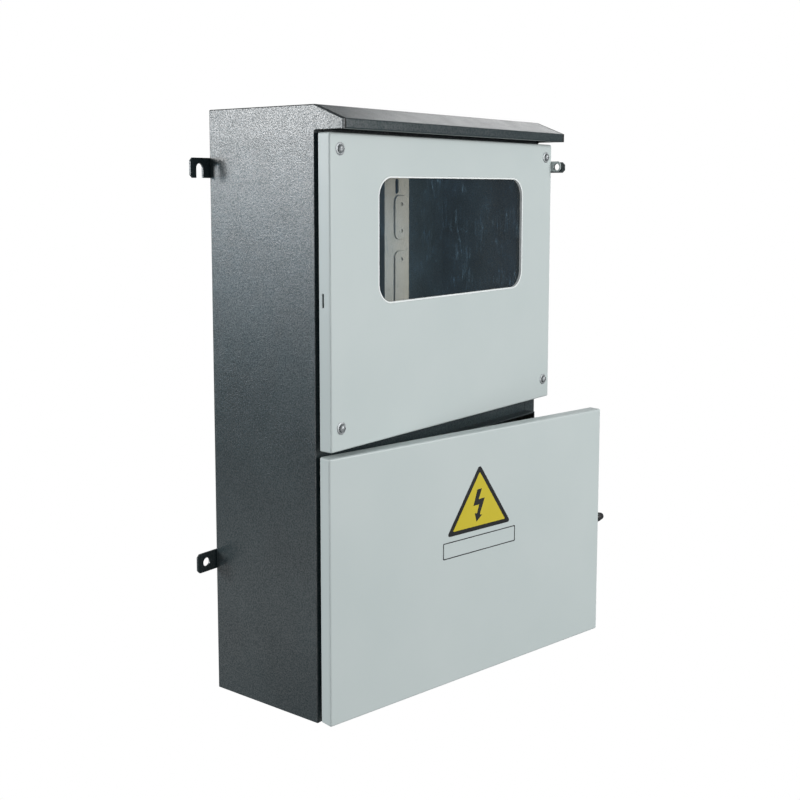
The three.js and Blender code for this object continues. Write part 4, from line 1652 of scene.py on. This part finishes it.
@dataclass
class Studio:
    """White room with soft lights, a pale floor and the camera.

    Attributes:
        eye: the camera's place, in metres.
        yaw: its heading from the wall's normal, in degrees towards +X.
        pitch: how far it looks up, in degrees.
        roll: its turn about its own axis, in degrees.
        lens: focal length in millimetres on a 36 mm sensor.
        shift: vertical shift of the lens, as a share of the picture's width.
        ambient: grey of the room as the object sees it.
        floor_z: height of the floor, in metres.
    """

    eye: tuple[float, float, float] = (-1.0186, -0.8778, 0.5215)
    yaw: float = 52.254
    pitch: float = -6.375
    roll: float = 0.051
    lens: float = 52.67
    shift: float = -0.1
    ambient: float = 0.2
    floor_z: float = -0.6

    def build(self) -> None:
        """Sets up the room, the lights and the camera."""
        self.camera()
        self.room()
        self.floor()
        for light in (
            Softbox("side_softbox", (-2.3, 1.8, 1.15), (-0.2, -0.07, 0.45), (1.0, 1.1), 56),
            Softbox("front_softbox", (0.8, -2.85, 1.05), (0.0, -0.16, 0.25), (1.7, 1.3), 73),
            Softbox(
                "low_blue_softbox",
                (-2.3, 2.0, 0.42),
                (-0.2, -0.07, 0.4),
                (1.0, 0.4),
                5,
                (0.55, 0.82, 1.0),
            ),
            Softbox("low_side_softbox", (-1.2, 0.92, -0.42), (-0.2, -0.07, 0.1), (0.9, 0.35), 0.8),
            Softbox("low_front_softbox", (-1.7, -1.5, -0.3), (-0.1, -0.16, 0.15), (1.0, 0.8), 7),
            Softbox("top_softbox", (2.4, 0.75, 1.5), (0.0, -0.1, 0.5), (1.4, 1.1), 8),
            Softbox(
                "meter_space_lamp",
                (0.155, -0.115, 0.44),
                (0.085, -0.0175, 0.44),
                (0.02, 0.26),
                0.2,
                (1.0, 0.86, 0.7),
            ),
        ):
            light.build()
        bpy.context.scene.view_settings.view_transform = "Standard"

    def camera(self) -> None:
        """Places the camera."""
        yaw, pitch, roll = (math.radians(v) for v in (self.yaw, self.pitch, self.roll))
        forward = Vector(
            (math.sin(yaw) * math.cos(pitch), math.cos(yaw) * math.cos(pitch), math.sin(pitch))
        )
        right = Vector((math.cos(yaw), -math.sin(yaw), 0))
        up = right.cross(forward)
        right, up = (
            right * math.cos(roll) + up * math.sin(roll),
            up * math.cos(roll) - right * math.sin(roll),
        )
        data = bpy.data.cameras.new("camera")
        data.lens = self.lens
        data.sensor_width = 36
        data.shift_y = self.shift
        data.clip_start = 0.01
        camera = bpy.data.objects.new("camera", data)
        bpy.context.scene.collection.objects.link(camera)
        turn = Matrix((right, up, -forward)).transposed().to_4x4()
        camera.matrix_world = Matrix.Translation(Vector(self.eye)) @ turn
        bpy.context.scene.camera = camera

    def room(self) -> None:
        """White behind the object, and a softer grey in what lights it."""
        world = bpy.data.worlds.new("white_room")
        bpy.context.scene.world = world
        world.use_nodes = True
        tree = world.node_tree
        tree.nodes.clear()
        seen = add_node(tree, "LightPath").outputs["Is Camera Ray"]
        lit = add_node(
            tree, "Background", {"Color": (0.93, 0.97, 1.0, 1), "Strength": self.ambient}
        ).outputs[0]
        white = add_node(tree, "Background", {"Color": (1, 1, 1, 1), "Strength": 1.0}).outputs[0]
        mixed = add_node(tree, "MixShader", links={0: seen, 1: lit, 2: white}).outputs[0]
        add_node(tree, "OutputWorld", links={"Surface": mixed})

    def floor(self) -> None:
        """A wide pale floor, well below the hanging box."""
        hold()
        bpy.ops.mesh.primitive_plane_add(size=9, location=(0, 0, self.floor_z))
        piece = bpy.context.active_object
        piece.name = "pale_floor"
        material = bpy.data.materials.new("pale_painted_floor")
        material.use_nodes = True
        tree = material.node_tree
        tree.nodes.clear()
        glow = add_node(tree, "Emission", {"Color": (1, 1, 1, 1), "Strength": 1.0}).outputs[0]
        add_node(tree, "OutputMaterial", links={"Surface": glow})
        piece.data.materials.append(material)
        piece.visible_glossy = False
        piece.visible_diffuse = False


def main() -> None:
    """Builds the combiner box and its studio."""
    logging.basicConfig(level=logging.INFO, format="%(message)s")
    door = LowerDoor()
    for assembly in (
        Enclosure(),
        UpperCover(),
        door,
        CoverFastening(),
        Window(),
        Hinges(),
        Latch(door),
        MeterStrips(),
        Switchgear(),
        Wiring(),
        Glands(),
        Studio(),
    ):
        LOG.info("building %s", type(assembly).__name__)
        assembly.build()


if __name__ == "__main__":
    main()
